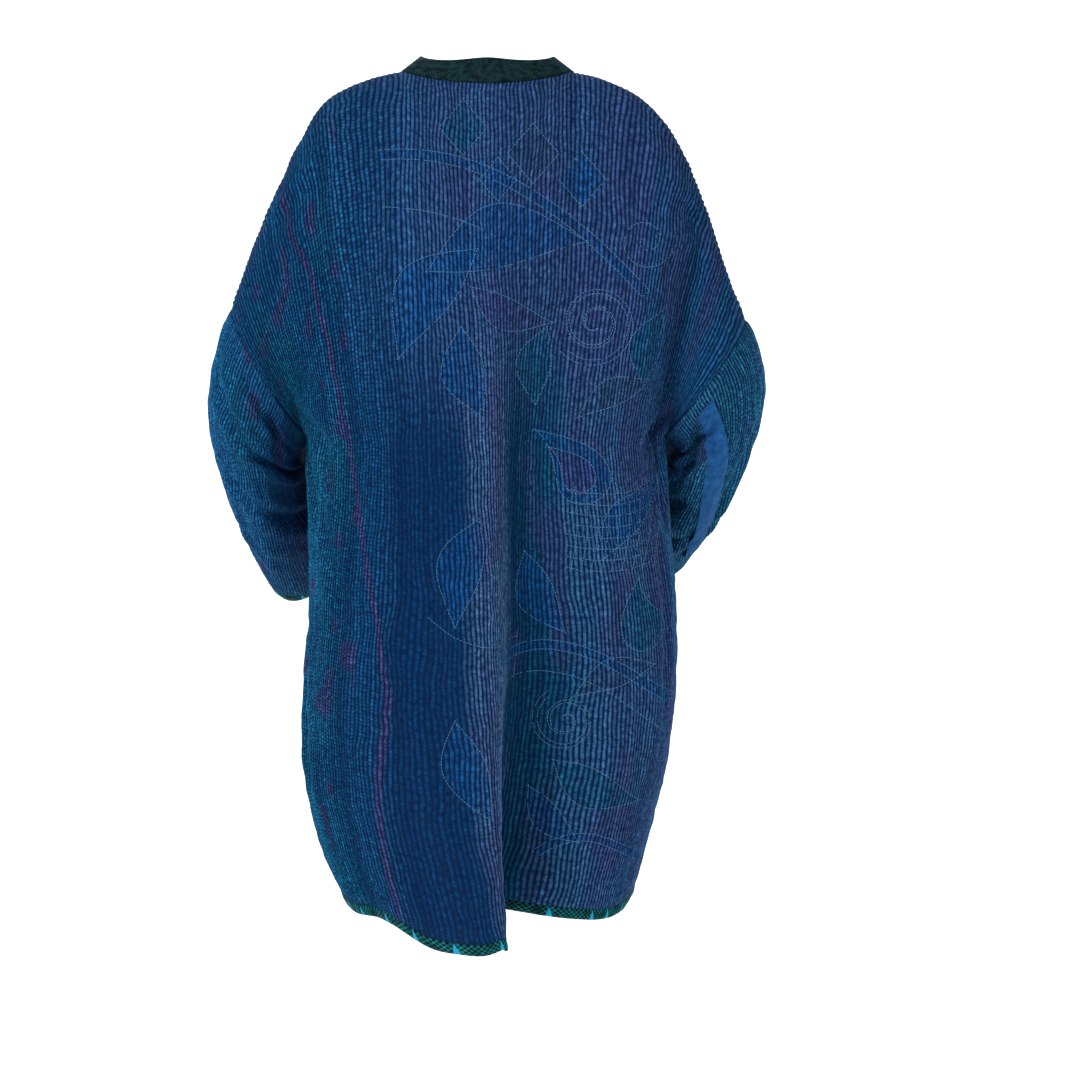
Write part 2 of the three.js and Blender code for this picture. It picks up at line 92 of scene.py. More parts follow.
def table(names, rows):
    """Sizes as named columns."""
    return dict(zip(names.split(), np.array(rows, float).T))


def read(sizes, name, at):
    """A column of a table at places between its rows, on a smooth curve through them."""
    knots, values = sizes["at"], sizes[name]
    at = np.clip(at, 0, 1)
    i = np.clip(np.searchsorted(knots, at, side="left") - 1, 0, len(knots) - 2)
    order = np.arange(len(knots))
    before, after = np.maximum(order - 1, 0), np.minimum(order + 1, len(knots) - 1)
    slope = (values[after] - values[before]) / (knots[after] - knots[before])
    span = knots[i + 1] - knots[i]
    t = (at - knots[i]) / span
    rise = t * t * (3 - 2 * t)
    bend = slope[i] * t * (1 - t) ** 2 - slope[i + 1] * t * t * (1 - t)
    return values[i] * (1 - rise) + values[i + 1] * rise + span * bend


def sided(sizes, name, left, at):
    """A column that the table holds once for each side of the coat."""
    return np.where(left, read(sizes, f"left{name}", at), read(sizes, f"right{name}", at))

# %% [markdown]
# A worn coat is a set of curved sheets. For each, a function gives the point in space for a place on the
# cloth: how far across it is, and how far down. The tables hold the measurements that the plain walls
# were made from, so the fine cloth lies on those walls.

# %% Sizes of the body
NECK_SHARE = 0.284
NECK_DEPTH, NECK_DROP = 42, 10
ARMHOLE_DEPTH, NAPE_BULGE = 67, 8
UNDERARM_Z, HEM_Z = -385, -914
UPPER_SHARE = 0.42
PANEL_LENGTH = 1000
SEAM_GAP = 0.3
WALL = 2.4
FRONT_EDGE_CHEST, FRONT_EDGE_HEM = 76, 66
BOXINESS, CENTRE_SPREAD = 0.08, 0.9
BINDING = 13

SHOULDER = table("at left_x left_z right_x right_z", [
    (0.00, 88, 0, 88, -1),
    (0.12, 126, -9, 122, -9),
    (0.27, 170, -31, 165, -31),
    (0.43, 198, -73, 199, -71),
    (0.63, 229, -135, 227, -134),
    (0.90, 264, -219, 260, -224),
    (1.00, 276, -249, 276, -262),
])
BODY = table("at left right middle back front seam", [
    (0.00, 199, 190, -5, 123, 108, 90),
    (0.12, 198, 194, -3, 125, 110, 92),
    (0.35, 199, 204, 4, 130, 120, 101),
    (0.52, 206, 206, 4, 134, 128, 104),
    (0.70, 209, 197, 2, 134, 130, 102),
    (0.86, 195, 178, 0, 131, 128, 98),
    (1.00, 167, 160, 0, 128, 124, 95),
])
PLEAT = dict(at_top=-0.08, at_hem=-0.02, width=0.16, top=-150, over=50, lift=50, drop=11, growth=1.05)

# How the hem hangs beside the pleat: place across the back, half width, depth downwards
HEM_SAGS = [(0.31, 0.08, 12), (0.12, 0.06, -14)]
HEM_SAG_GROWTH = 4

# Soft folds: place across the panel, half width, level where it starts, where it ends, depth inwards
BACK_FOLDS = [
    (0.52, 0.1, -90, -1100, 15), (0.3, 0.1, -330, -1100, 8), (0.8, 0.1, -330, -800, 12),
    (-0.74, 0.085, -60, -520, 24), (-0.55, 0.12, -60, -560, -9), (-0.42, 0.12, -420, -1100, 9),
    (-0.83, 0.09, -520, -1100, 9),
]
FRONT_FOLDS = [(0.3, 0.16, -140, -1100, -9), (0.58, 0.13, -200, -1100, 15), (0.85, 0.12, -430, -1100, -9)]
FOLD_EASE, FOLD_SIDE_ROOM, FOLD_TOP_ROOM = 150, 0.12, 0.35

# %% The body's surface
def neck_and_shoulder(share, left):
    """The upper edge: the neckline, then the shoulder line out to the armhole."""
    at = (share - NECK_SHARE) / (1 - NECK_SHARE)
    q = np.clip(share / NECK_SHARE, 0, 1)
    dip = (1 - q * q) ** 0.6
    neck = q * SHOULDER["left_x"][0], NECK_DEPTH * dip, -NECK_DROP * dip
    shoulder = sided(SHOULDER, "_x", left, at), 0, sided(SHOULDER, "_z", left, at)
    return [np.where(share < NECK_SHARE, a, b) for a, b in zip(neck, shoulder)]


def ring(turn, left, at):
    """A point of the ring round the body: the turn is 0 at the centre back and pi at the front."""
    width = sided(BODY, "", left, at)
    depth = np.where(turn < np.pi / 2, read(BODY, "back", at), read(BODY, "front", at))
    x = width * np.sin(turn) * (1 + BOXINESS * np.cos(turn) ** 2)
    return x, read(BODY, "middle", at) + depth * np.cos(turn), mix(UNDERARM_Z, HEM_Z, at)


def fall_from_shoulder(top, low, share, level, facing):
    """A point between the upper edge and the underarm ring."""
    half = (1 - np.cos(np.pi * level)) / 2
    oval = share ** 8
    fall = mix(mix(level * level, half, 0.55), half, oval)
    along = mix(level, fall, smooth(share / NECK_SHARE))
    back = mix(np.sin(np.pi * level / 2), half, share ** 1.2)
    swing = mix(6.75 * level * (1 - level) ** 2, np.sin(np.pi * level), oval)
    bulge = mix(NAPE_BULGE, ARMHOLE_DEPTH, share ** 1.6)
    y = mix(top[1], low[1], back) + facing * bulge * swing
    return mix(top[0], low[0], along), y, mix(top[2], low[2], along)


def levels(v):
    """How far down the part above the underarm ring a place is, and how far down the part below it."""
    return np.clip(v / UPPER_SHARE, 0, 1), np.clip((v - UPPER_SHARE) / (1 - UPPER_SHARE), 0, None)


def fold_depth(folds, at, z, upper):
    room = smooth((1 - np.abs(at)) / FOLD_SIDE_ROOM) * smooth(upper / FOLD_TOP_ROOM)
    depth = 0
    for place, width, top, low, deep in folds:
        across = np.exp(-((at - place) / width) ** 2)
        depth = depth + deep * across * smooth((top - z) / FOLD_EASE) * smooth((z - low) / FOLD_EASE) * room
    return depth


def back_surface(s, v):
    """s runs from -1 at the right side seam to 1 at the left one, v from the top edge to the hem."""
    left, share = s >= 0, np.abs(s)
    upper, lower = levels(v)
    turn = mix(share ** 3, share, CENTRE_SPREAD) * np.radians(read(BODY, "seam", lower))
    low = ring(turn, left, lower)
    high = fall_from_shoulder(neck_and_shoulder(share, left), low, share, upper, 1)
    x, y, z = [np.where(upper < 1, a, b) for a, b in zip(high, low)]
    grown = np.clip((PLEAT["top"] - z) / (PLEAT["top"] - HEM_Z), 0, 1) ** PLEAT["growth"]
    t = (s - mix(PLEAT["at_top"], PLEAT["at_hem"], grown)) / PLEAT["width"]
    sway = grown * t * np.exp((1 - t * t) / 2)
    x = np.where(left, x, -x) - PLEAT["over"] * sway
    y = y + PLEAT["lift"] * sway - fold_depth(BACK_FOLDS, s, z, upper)
    hang = sum(deep * np.exp(-((s - place) / width) ** 2) for place, width, deep in HEM_SAGS)
    z = z - PLEAT["drop"] * sway - hang * grown ** HEM_SAG_GROWTH
    return points(x, y + SEAM_GAP / 2, z)


def front_surface(side, s, v):
    """s runs from 0 at the front edge to 1 at the side seam."""
    left = side > 0
    upper, lower = levels(v)
    edge = mix(FRONT_EDGE_CHEST, FRONT_EDGE_HEM, lower)
    edge_turn = np.pi - np.arcsin(edge / (sided(BODY, "", left, lower) * (1 + BOXINESS)))
    turn = mix(edge_turn, np.radians(read(BODY, "seam", lower)), s)
    low = ring(turn, left, lower)
    share = mix(NECK_SHARE, 1, s)
    high = fall_from_shoulder(neck_and_shoulder(share, left), low, share, upper, -1)
    x, y, z = [np.where(upper < 1, a, b) for a, b in zip(high, low)]
    y = y + fold_depth(FRONT_FOLDS, s, z, upper)
    return points(side * x, y - SEAM_GAP / 2, z)

# %% Sizes and surface of the sleeves
LEFT_SLEEVE = table("at x y z out_x out_y out_z down_x down_y down_z", [
    (0.00, 237.5, -2.5, -317, 38.5, 2.5, 68, 0, 67, 0),
    (0.14, 248, -12, -343, 43, 5, 59, 0, 73, -4),
    (0.30, 258, -24, -378, 48, 5, 34, -2, 80, -16),
    (0.48, 255, -52, -418, 50, 6, 12, -4, 81, -36),
    (0.66, 243, -93, -457, 50, 8, 6, 4, 68, -60),
    (0.83, 231, -143, -493, 49, 9, 8, 14, 44, -76),
    (1.00, 218, -194, -528, 46, 10, 14, 26, 24, -84),
])
RIGHT_SLEEVE = table("at x y z out_x out_y out_z down_x down_y down_z", [
    (0.00, 233, -2.5, -323.5, 43, 2.5, 61.5, 0, 67, 0),
    (0.14, 246, -14, -346, 45, 5, 55, 0, 73, -4),
    (0.30, 252, -30, -376, 48, 5, 30, -4, 79, -17),
    (0.48, 238, -60, -414, 50, 6, 8, -6, 79, -38),
    (0.66, 218, -104, -452, 50, 10, 2, 0, 64, -62),
    (0.83, 199, -156, -486, 48, 14, 4, 6, 42, -76),
    (1.00, 175, -205, -514, 45, 18, 8, 12, 24, -82),
])
SLEEVE_FOLDS = [(118, 20, 0.0, 0.75, 9), (62, 16, 0.25, 0.9, 7), (285, 24, 0.2, 0.8, 8)]
SLEEVE_EASE, SLEEVE_RADIUS, SLEEVE_LENGTH = 0.2, 70, 330


def armhole_lines(sizes):
    """From the armhole's middle to its outer line, and to its lower one."""
    return [np.array([sizes[f"{name}_{axis}"][0] for axis in "xyz"]) for name in ("out", "down")]


def sleeve_surface(side, turn, v):
    """The turn is 0 on the outer line, 90 at the back and 180 against the body, in degrees."""
    sizes = LEFT_SLEEVE if side > 0 else RIGHT_SLEEVE
    deep = 0
    for place, width, start, end, depth in SLEEVE_FOLDS:
        away = (turn - place + 540) % 360 - 180
        fade = smooth((v - start) / SLEEVE_EASE) * smooth((end - v) / SLEEVE_EASE)
        deep = deep + depth * np.exp(-(away / width) ** 2) * fade
    a, b, reach = np.cos(np.radians(turn)), np.sin(np.radians(turn)), 1 - deep / SLEEVE_RADIUS
    out, down = armhole_lines(sizes)
    gap = unit(np.cross(down, out))
    point = []
    for axis, apart in zip("xyz", gap):
        arm = read(sizes, f"out_{axis}", v) * a + read(sizes, f"down_{axis}", v) * b
        point.append(read(sizes, axis, v) + reach * arm + SEAM_GAP * (1 - v) * apart)
    return points(*point) * (side, 1, 1)

# %% Sizes and surface of the collar
COLLAR_WIDTH, COLLAR_NAPE, COLLAR_SEAM = 52, 24, 0.8
COLLAR_LAP = 3.2   # the seam's own cloth, which closes the gap that the plain walls keep
NECK_PART, COLLAR_RISE, COLLAR_TILT = 0.13, 0.8, 0.12
COLLAR_LEAN = dict(side_back=0.1, side_up=0.75, nape_back=-0.3, nape_up=1)


def collar_surface(u, v):
    """u runs from the left front hem round the neck to the right front hem, v from free edge to seam."""
    half = (1 - NECK_PART) / 2
    s = mix(NECK_SHARE, -NECK_SHARE, np.clip((u - half) / NECK_PART, 0, 1))
    line = back_surface(s, np.zeros_like(u))
    for side, there, way in ((1, u < half, u), (-1, u > 1 - half, 1 - u)):
        edge = front_surface(side, np.zeros_like(u), 1 - np.clip(way / half, 0, 1))
        line = np.where(there[..., None], edge, line)
    side = np.where(u < 0.5, 1, -1)
    down = np.clip(np.minimum(u, 1 - u) / half, 0, 1)
    around = np.pi * np.clip((u - half) / NECK_PART, 0, 1)
    nape = np.sin(around)
    flat = unit(points(-side, -COLLAR_TILT, 0))
    back = mix(COLLAR_LEAN["side_back"], COLLAR_LEAN["nape_back"], nape)
    up = mix(COLLAR_LEAN["side_up"], COLLAR_LEAN["nape_up"], nape)
    standing = unit(points(-np.cos(around), back, up))
    stand = smooth((down - COLLAR_RISE) / (1 - COLLAR_RISE))
    direction = unit(mix(flat, standing, stand[..., None]))
    width = mix(COLLAR_WIDTH, COLLAR_NAPE, stand)
    return line + direction * mix(COLLAR_SEAM - COLLAR_LAP, width, 1 - v)[..., None]

# %% [markdown]
# A cloth wall is made the way a lining is bagged out: two flat grids, one fine for the outside and one
# coarse for the inside, are joined along their four edges with bridges. Only then is every vertex moved
# to its place in space. Lofting section curves would also work, but it gives no control over the rows.

# %% A flat wall of two grids
def placed(name, data):
    """A new object at the origin, in the scene."""
    made = bpy.data.objects.new(name, data)
    bpy.context.scene.collection.objects.link(made)
    return made


def flat_wall(columns, rings, inner_columns, inner_rings):
    """Two grids over the unit square, 1 apart, joined all round. The upper one is the outside."""
    bm = bmesh.new()
    bmesh.ops.create_grid(bm, x_segments=columns, y_segments=rings, size=0.5)
    lower = bmesh.ops.create_grid(
        bm, x_segments=inner_columns, y_segments=inner_rings, size=0.5,
        matrix=Matrix.Translation((0, 0, -1)))
    bmesh.ops.reverse_faces(bm, faces=list({f for v in lower["verts"] for f in v.link_faces}))
    open_edges = [e for e in bm.edges if e.is_boundary]
    rims = [
        [e for e in open_edges if all(v.co[axis] * sign > 0.4999 for v in e.verts)]
        for axis in (0, 1) for sign in (-1, 1)
    ]
    for rim in rims:
        bmesh.ops.bridge_loops(bm, edges=rim)
    return bm


def way_out(surface, u, v, wraps):
    """The direction that the cloth faces, from its slopes across and down."""
    step = 1e-3
    low_u, high_u = (u - step, u + step) if wraps else (np.maximum(u - step, 0), np.minimum(u + step, 1))
    across = surface(high_u, v) - surface(low_u, v)
    down = surface(u, np.minimum(v + step, 1)) - surface(u, np.maximum(v - step, 0))
    return unit(np.cross(across, down))


def cloth_piece(name, surface, relief, size, segments, thickness=WALL, wraps=False, edge=None, paint=None,
                dents=None):
    """A closed wall on a surface. relief(u, v) is how far the outside stands out and dents(u, v) how far
    the whole wall does, in mm. The UV map holds size[0] rows or mm across and size[1] mm down."""
    bm = flat_wall(*segments)
    mesh = bpy.data.meshes.new(name)
    bm.to_mesh(mesh)
    bm.free()
    flat = np.zeros(len(mesh.vertices) * 3)
    mesh.vertices.foreach_get("co", flat)
    flat = flat.reshape(-1, 3)
    u, v, outside = flat[:, 0] + 0.5, 0.5 - flat[:, 1], flat[:, 2] > -0.5
    facing = way_out(surface, u, v, wraps)
    if edge is not None:
        given, where = edge(u, v)
        facing = np.where(where[:, None], given, facing)
    out = np.where(outside, relief(u, v), -thickness) + (dents(u, v) if dents else 0)
    place = surface(u, v) + facing * out[:, None]
    corners = np.zeros(len(mesh.loops), np.int32)
    mesh.loops.foreach_get("vertex_index", corners)
    flat = points(u * size[0], v * size[1])[corners]
    mesh.uv_layers.new(name="cloth").data.foreach_set("uv", flat.astype(np.float32).ravel())
    if paint is not None:
        tint = mesh.attributes.new("tint", "FLOAT_COLOR", "POINT")
        tint.data.foreach_set("color", paint(u, v).astype(np.float32).ravel())
    mesh.vertices.foreach_set("co", (place * MM).astype(np.float32).ravel())
    bm = bmesh.new()
    bm.from_mesh(mesh)
    if wraps:
        bmesh.ops.remove_doubles(bm, verts=bm.verts, dist=2e-6)
    if bm.calc_volume(signed=True) < 0:
        bmesh.ops.reverse_faces(bm, faces=bm.faces)
    for face in bm.faces:
        face.smooth = True
    bm.to_mesh(mesh)
    open_edges = sum(1 for e in bm.edges if e.is_boundary)
    bm.free()
    mesh.update()
    triangles = sum(len(p.vertices) - 2 for p in mesh.polygons)
    print(f"{name}: {triangles} triangles, {open_edges} open edges")
    return placed(name, mesh)

# %% [markdown]
# A material is a small network of nodes. One helper adds a node with its settings and links and gives
# back a socket, so a network reads from the inside out like a formula.

# %% The node helper
def new_material(name):
    """An empty material, and the function that adds a node to it."""
    material = bpy.data.materials.new(name)
    material.use_nodes = True
    tree = material.node_tree
    tree.nodes.clear()

    def add(kind, links=(), operation=None, out=0, **settings):
        """Adds a node, sets its properties, and fills its sockets, by name or in their order, with values
        or with other nodes' sockets."""
        made = tree.nodes.new("ShaderNode" + kind)
        if operation:
            made.operation = operation
        for name, value in settings.items():
            setattr(made, name, value)
        for socket, value in links.items() if isinstance(links, dict) else enumerate(links):
            if isinstance(value, bpy.types.NodeSocket):
                tree.links.new(value, made.inputs[socket])
            else:
                made.inputs[socket].default_value = value
        return made.outputs[out] if made.outputs else None

    return material, add


def finish_cloth(add, colour, height, depth, roughness, sheen):
    """The shader all the cotton shares: a matt fibre surface with a soft sheen and a bump in metres."""
    bump = add("Bump", {"Height": height, "Distance": depth})
    shader = add("BsdfPrincipled", {
        "Base Color": colour, "Normal": bump, "Roughness": roughness, "Specular IOR Level": 0.06,
        "Sheen Weight": sheen, "Sheen Roughness": 0.45, "Sheen Tint": linear("#5f94d0"),
    })
    add("OutputMaterial", {"Surface": shader})

# %% [markdown]
# The cloth is indigo-dyed cotton gauze, held together by thousands of running stitches in close rows. Each
# row stands up as a soft ridge that catches the light. The valleys between are painted dark, which is
# painted shade with some darker dye, and the ridges carry a painted highlight. The ridges are real shape;
# the single stitches, finer than the mesh, are drawn here. The UV map counts rows across and millimetres
# down, so a stitch is the same length everywhere.

# %% Stitched indigo cotton
STITCH_LENGTH = 4.6
WEAVE_PITCH = 0.9   # real gauze is finer; drawn this coarse so that it shows


def stitched_cotton(name, valley, puckered):
    """Rows of running stitches. puckered is how strongly the stitches break up the ridges."""
    material, add = new_material(name)
    cloth = add("UVMap", uv_map="cloth")
    tint = add("Attribute", attribute_name="tint")
    stitch_break_up = add("Attribute", out=3, attribute_name="tint")
    across = add("SeparateXYZ", {"Vector": cloth})
    down = across.node.outputs[1]
    chance = add("TexWhiteNoise", {"W": add("Math", [across], "FLOOR")}, noise_dimensions="1D")
    off_middle = add("Math", [add("Math", [across], "FRACT"), 0.5], "SUBTRACT")
    off_middle = add("Math", [off_middle], "ABSOLUTE")
    # Slow unevenness of hand and dye along each row
    stretched = add("VectorMath", [cloth, (0.9, 0.16, 1)], "MULTIPLY")
    uneven = add("TexNoise", {"Vector": stretched, "Scale": 1.0, "Detail": 3.0, "Roughness": 0.6})
    # Where a stitch dips the ridge is pinched, and the pinches are out of step from row to row
    places = add("Math", [down, STITCH_LENGTH], "DIVIDE")
    shifted = add("Math", [chance, 7.0, places], "MULTIPLY_ADD")
    shifted = add("Math", [uneven, 1.2, shifted], "MULTIPLY_ADD")
    beat = add("Math", [add("Math", [shifted], "FRACT"), 0.5], "SUBTRACT")
    beat = add("Math", [beat], "ABSOLUTE")
    pinch = add("MapRange", [beat, 0.28, 0.48], interpolation_type="SMOOTHSTEP")
    pinch = add("Math", [pinch, stitch_break_up], "MULTIPLY")
    pinch = add("Math", [pinch, puckered], "MULTIPLY")
    # Fine creases run across the rows where the thread has drawn the layers together
    crossed = add("VectorMath", [cloth, (0.34, 0.3, 1)], "MULTIPLY")
    crackle = add("TexNoise", {"Vector": crossed, "Scale": 1.0, "Detail": 3.0, "Roughness": 0.55})
    crackle = add("Math", [crackle, 0.5], "SUBTRACT")
    crackle = add("Math", [crackle], "ABSOLUTE")
    crackle = add("MapRange", [crackle, 0.0, 0.035, 0.75, 0.0])
    crackle = add("Math", [crackle, stitch_break_up], "MULTIPLY")
    # Painted shade: the valleys between the ridges, the stitch pinches and the fine creases are mixed
    # towards the dark valley colour, with some darker dye in the valleys
    edge = add("Math", [uneven, -0.34, off_middle], "MULTIPLY_ADD")
    hollow = add("MapRange", [edge, -0.06, 0.22], interpolation_type="SMOOTHSTEP")
    dark = add("Math", [hollow, pinch], "MAXIMUM")
    dark = add("Math", [dark, crackle], "MAXIMUM")
    # Ridge colour: a painted highlight, uneven along each ridge and strongest where the bump stands
    # highest, each row a little different
    ridge_highlight = add("MapRange", [uneven, 0.3, 0.72, 0.45, 2.2])
    row_shade = add("MapRange", [chance, 0, 1, 0.75, 1.3])
    ridge = add("VectorMath", {0: tint, "Scale": add("Math", [ridge_highlight, row_shade], "MULTIPLY")}, "SCALE")
    colour = add("Mix", {0: dark, 6: ridge, 7: linear(valley)}, out=2, data_type="RGBA")
    # Bump: the pinched stitches, the creases, the crinkled ridges and the loose weave
    fine = add("TexNoise", {"Vector": cloth, "Scale": 1 / WEAVE_PITCH})
    height = 1.6
    for part, share in ((pinch, -0.8), (crackle, -0.7), (uneven, 1.4), (fine, 0.35)):
        height = add("Math", [part, share, height], "MULTIPLY_ADD")
    finish_cloth(add, colour, height, depth=0.0009, roughness=0.9, sheen=0.04)
    return material


# The second colour is the dark of the valleys: painted shade with some darker dye
BODY_COTTON = stitched_cotton("indigo_stitched_cotton", "#021c46", 0.9)
SLEEVE_COTTON = stitched_cotton("blue_stitched_cotton", "#02214a", 0.9)

# %% [markdown]
# The edges are bound with a handwoven strip: a fine basket check in dark green and black, crossed every
# forty millimetres or so by a slender wedge of turquoise. The band's UV map is in millimetres.

# %% Checked binding
CHECK_PITCH = 2.6
WEDGE_EVERY = 38.0
WEDGE_HALF = 3.2


def checked_binding(name, wedges, width, light, dark):
    material, add = new_material(name)
    cloth = add("UVMap", uv_map="cloth")
    across = add("SeparateXYZ", {"Vector": cloth})
    down = across.node.outputs[1]
    check = add("TexChecker", {
        "Vector": cloth, "Color1": linear(light), "Color2": linear(dark), "Scale": 1 / CHECK_PITCH})
    blocks = add("TexNoise", {"Vector": cloth, "Scale": 0.09})
    blocks = add("MapRange", [blocks, 0.35, 0.68, 0.35, 1.7])
    colour = add("VectorMath", {0: check, "Scale": blocks}, "SCALE")
    if wedges:
        slant = add("Math", [down, 0.1, across], "MULTIPLY_ADD")
        place = add("Math", [slant, WEDGE_EVERY], "DIVIDE")
        number = add("Math", [place], "FLOOR")
        chance = add("TexWhiteNoise", {"W": number}, noise_dimensions="1D")
        place = add("Math", [place], "FRACT")
        middle = add("Math", [chance, 0.4, 0.3], "MULTIPLY_ADD")
        place = add("Math", [place, middle], "SUBTRACT")
        place = add("Math", [place], "ABSOLUTE")
        away = add("Math", [place, WEDGE_EVERY], "MULTIPLY")
        half = add("Math", [down, WEDGE_HALF / width], "MULTIPLY")
        within = add("Math", [half, away], "SUBTRACT")
        within = add("MapRange", [within, -0.3, 0.3])
        colour = add("Mix", {0: within, 6: colour, 7: linear("#1b93b4")}, out=2, data_type="RGBA")
    finish_cloth(add, colour, check.node.outputs[1], depth=0.0004, roughness=0.8, sheen=0.1)
    return material


BINDING_CLOTH = checked_binding("green_checked_binding", True, BINDING, "#085a5c", "#020e16")
COLLAR_CLOTH = checked_binding("dark_checked_collar", False, COLLAR_WIDTH, "#12302f", "#03090f")

# %% [markdown]
# The strip on the right sleeve is plain-woven cotton without stitch rows, with a fine even grain. It is a
# clearer blue, because nothing shades it.

# %% Plain blue cotton
def plain_cotton(name, base, shade):
    material, add = new_material(name)
    cloth = add("UVMap", uv_map="cloth")
    worn = add("TexNoise", {"Vector": cloth, "Scale": 0.1, "Detail": 5.0, "Roughness": 0.7})
    worn = add("MapRange", [worn, 0.35, 0.65])
    colour = add("Mix", {0: worn, 6: linear(shade), 7: linear(base)}, out=2, data_type="RGBA")
    threads = add("TexWave", {"Vector": cloth, "Scale": 0.35, "Distortion": 1.5, "Detail": 1.0}, out=1)
    height = add("TexNoise", {"Vector": cloth, "Scale": 0.9})
    height = add("Math", [threads, 0.3, height], "MULTIPLY_ADD")
    finish_cloth(add, colour, height, depth=0.0004, roughness=0.82, sheen=0.15)
    return material


PATCH_CLOTH = plain_cotton("plain_blue_cotton", "#205890", "#103868")


def thread(name, colour):
    """Cotton sewing thread, matt with a faint lustre."""
    material, add = new_material(name)
    place = add("TexCoord", out=3)
    fuzz = add("TexNoise", {"Vector": place, "Scale": 900.0})
    shade = add("MapRange", [fuzz, 0.3, 0.7, 0.75, 1.2])
    tone = add("VectorMath", {0: linear(colour)[:3], "Scale": shade}, "SCALE")
    finish_cloth(add, tone, fuzz, depth=0.0003, roughness=0.7, sheen=0.2)
    return material


THREAD = thread("pale_blue_thread", "#5584ac")

# %% [markdown]
# Every stitch row is a ridge about four and a half millimetres wide. Four columns of the fine grid make
# one row: valley, slope, crest, slope. The rows are hand-stitched, so soft random hills make them wander
# by a fraction of their width, and make their crests rise and sink.

# %% Ridges of the stitch rows
ROW_HALF_COUNT = 74
COLUMNS_PER_ROW = 4
RIDGE = 1.25
END_ROOM, SIDE_ROOM = 1 / 60, 1.5   # a share of the length, and rows


def taper(u, v, rows):
    """1 on the cloth, falling to 0 at the seams."""
    room = smooth(v / END_ROOM) * smooth((1 - v) / END_ROOM)
    return room * smooth(u * rows / SIDE_ROOM) * smooth((1 - u) * rows / SIDE_ROOM)


def ridges(rows, length, seed):
    """How far the outside stands out at a place on the cloth, in mm."""
    def relief(u, v):
        crest = np.sin(np.pi * u * rows) ** 2
        uneven = 1 + 0.45 * lumps(u * rows, v * length / 14, seed)
        broad = 0.9 * lumps(u * rows / 5, v * length / 18, seed + 1)
        crinkle = broad + 0.5 * lumps(u * rows / 2.2, v * length / 11, seed + 2)
        return taper(u, v, rows) * (RIDGE * crest * uneven + crinkle)
    return relief


def stitched_piece(name, surface, rows, length, seed, rings, inner_rings, **more):
    """A cloth piece with stitch rows down it."""
    segments = rows * COLUMNS_PER_ROW, rings, rows, inner_rings
    return cloth_piece(name, surface, ridges(rows, length, seed), (rows, length), segments, **more)


def wander(u, v, rows, length, seed):
    """How far the rows stray sideways, as a share of the piece's width."""
    slow = 0.55 * lumps(u * rows / 7, v * length / 54, seed)
    stray = slow + 0.2 * lumps(u * rows / 3, v * length / 16, seed + 1)
    return taper(u, v, rows) * stray / rows

# %% [markdown]
# The dye changes over the coat in long bands: teal and blue at the left, a deep navy beside the pleat,
# and a purple-grey ground at the right, with blue leaves and scrolls in it. The bands also hold painted
# light: a painted shadow in the fold beside the pleat, a painted highlight on the lit left side of the
# back, and painted shade on the side of each sleeve that lies against the body. The bands are painted on
# the cloth as a colour for each vertex, and the pattern's outlines are sewn on afterwards.

# %% Dye
DEPTH_OF_DYE = np.array([0.35, 0.5, 0.48])   # what many dips of indigo leave of a colour's light


def dyed(place, stops):
    """A colour for each place, between the stops of a band of colours: dye, and in some bands painted shade
    and highlight.
    """
    at = [stop[0] for stop in stops]
    colours = np.array([linear(stop[1])[:3] for stop in stops]) * DEPTH_OF_DYE
    return points(*[np.interp(place, at, channel) for channel in colours.T])


def toned(colours, amount, tone):
    """Some of another dye laid over colours."""
    return mix(colours, np.array(linear(tone)[:3]) * DEPTH_OF_DYE, np.clip(amount, 0, 1)[..., None])


def broken(colours, amount):
    """The colours with how strongly stitches break up the ridges, as a fourth channel."""
    return points(*np.moveaxis(colours, -1, 0), amount)


UPPER_DYE = [
    (-1.0, "#24649a"), (-0.8, "#2e6498"), (-0.55, "#3f6297"), (-0.2, "#4b6092"), (0.15, "#486092"),
    (0.4, "#2e6598"), (0.6, "#186ca2"), (0.85, "#2278b0"), (1.0, "#287cb8"),
]
# Lower bands: the stops from -0.27 to -0.12 are a painted shadow in the fold beside the pleat, on the right
# half of the back, and the light stops from 0.62 to the left seam are teal-blue dye made lighter by a
# painted highlight
LOWER_DYE_AND_PAINTED_LIGHT = [
    (-1.0, "#2a6c9e"), (-0.75, "#42689e"), (-0.5, "#4c689a"), (-0.35, "#44709e"), (-0.27, "#105878"),
    (-0.12, "#0c4668"), (-0.05, "#5a72a2"), (0.1, "#56709e"), (0.15, "#063c66"), (0.31, "#043a68"),
    (0.36, "#1f5a8e"), (0.42, "#0e6298"), (0.5, "#0b5c88"), (0.62, "#2a86ba"), (0.8, "#2076aa"),
    (1.0, "#2e80b4"),
]
# The purple stripe strays across the rows: shares of the way down, and across from the centre
STRIPE_DOWN = (0, 0.08, 0.17, 0.22, 0.29, 0.44, 0.58, 0.64, 0.72, 0.92, 1)
STRIPE_ACROSS = (0.685, 0.675, 0.655, 0.615, 0.575, 0.538, 0.415, 0.373, 0.338, 0.387, 0.4)
STRIPE_HALF = 0.0105
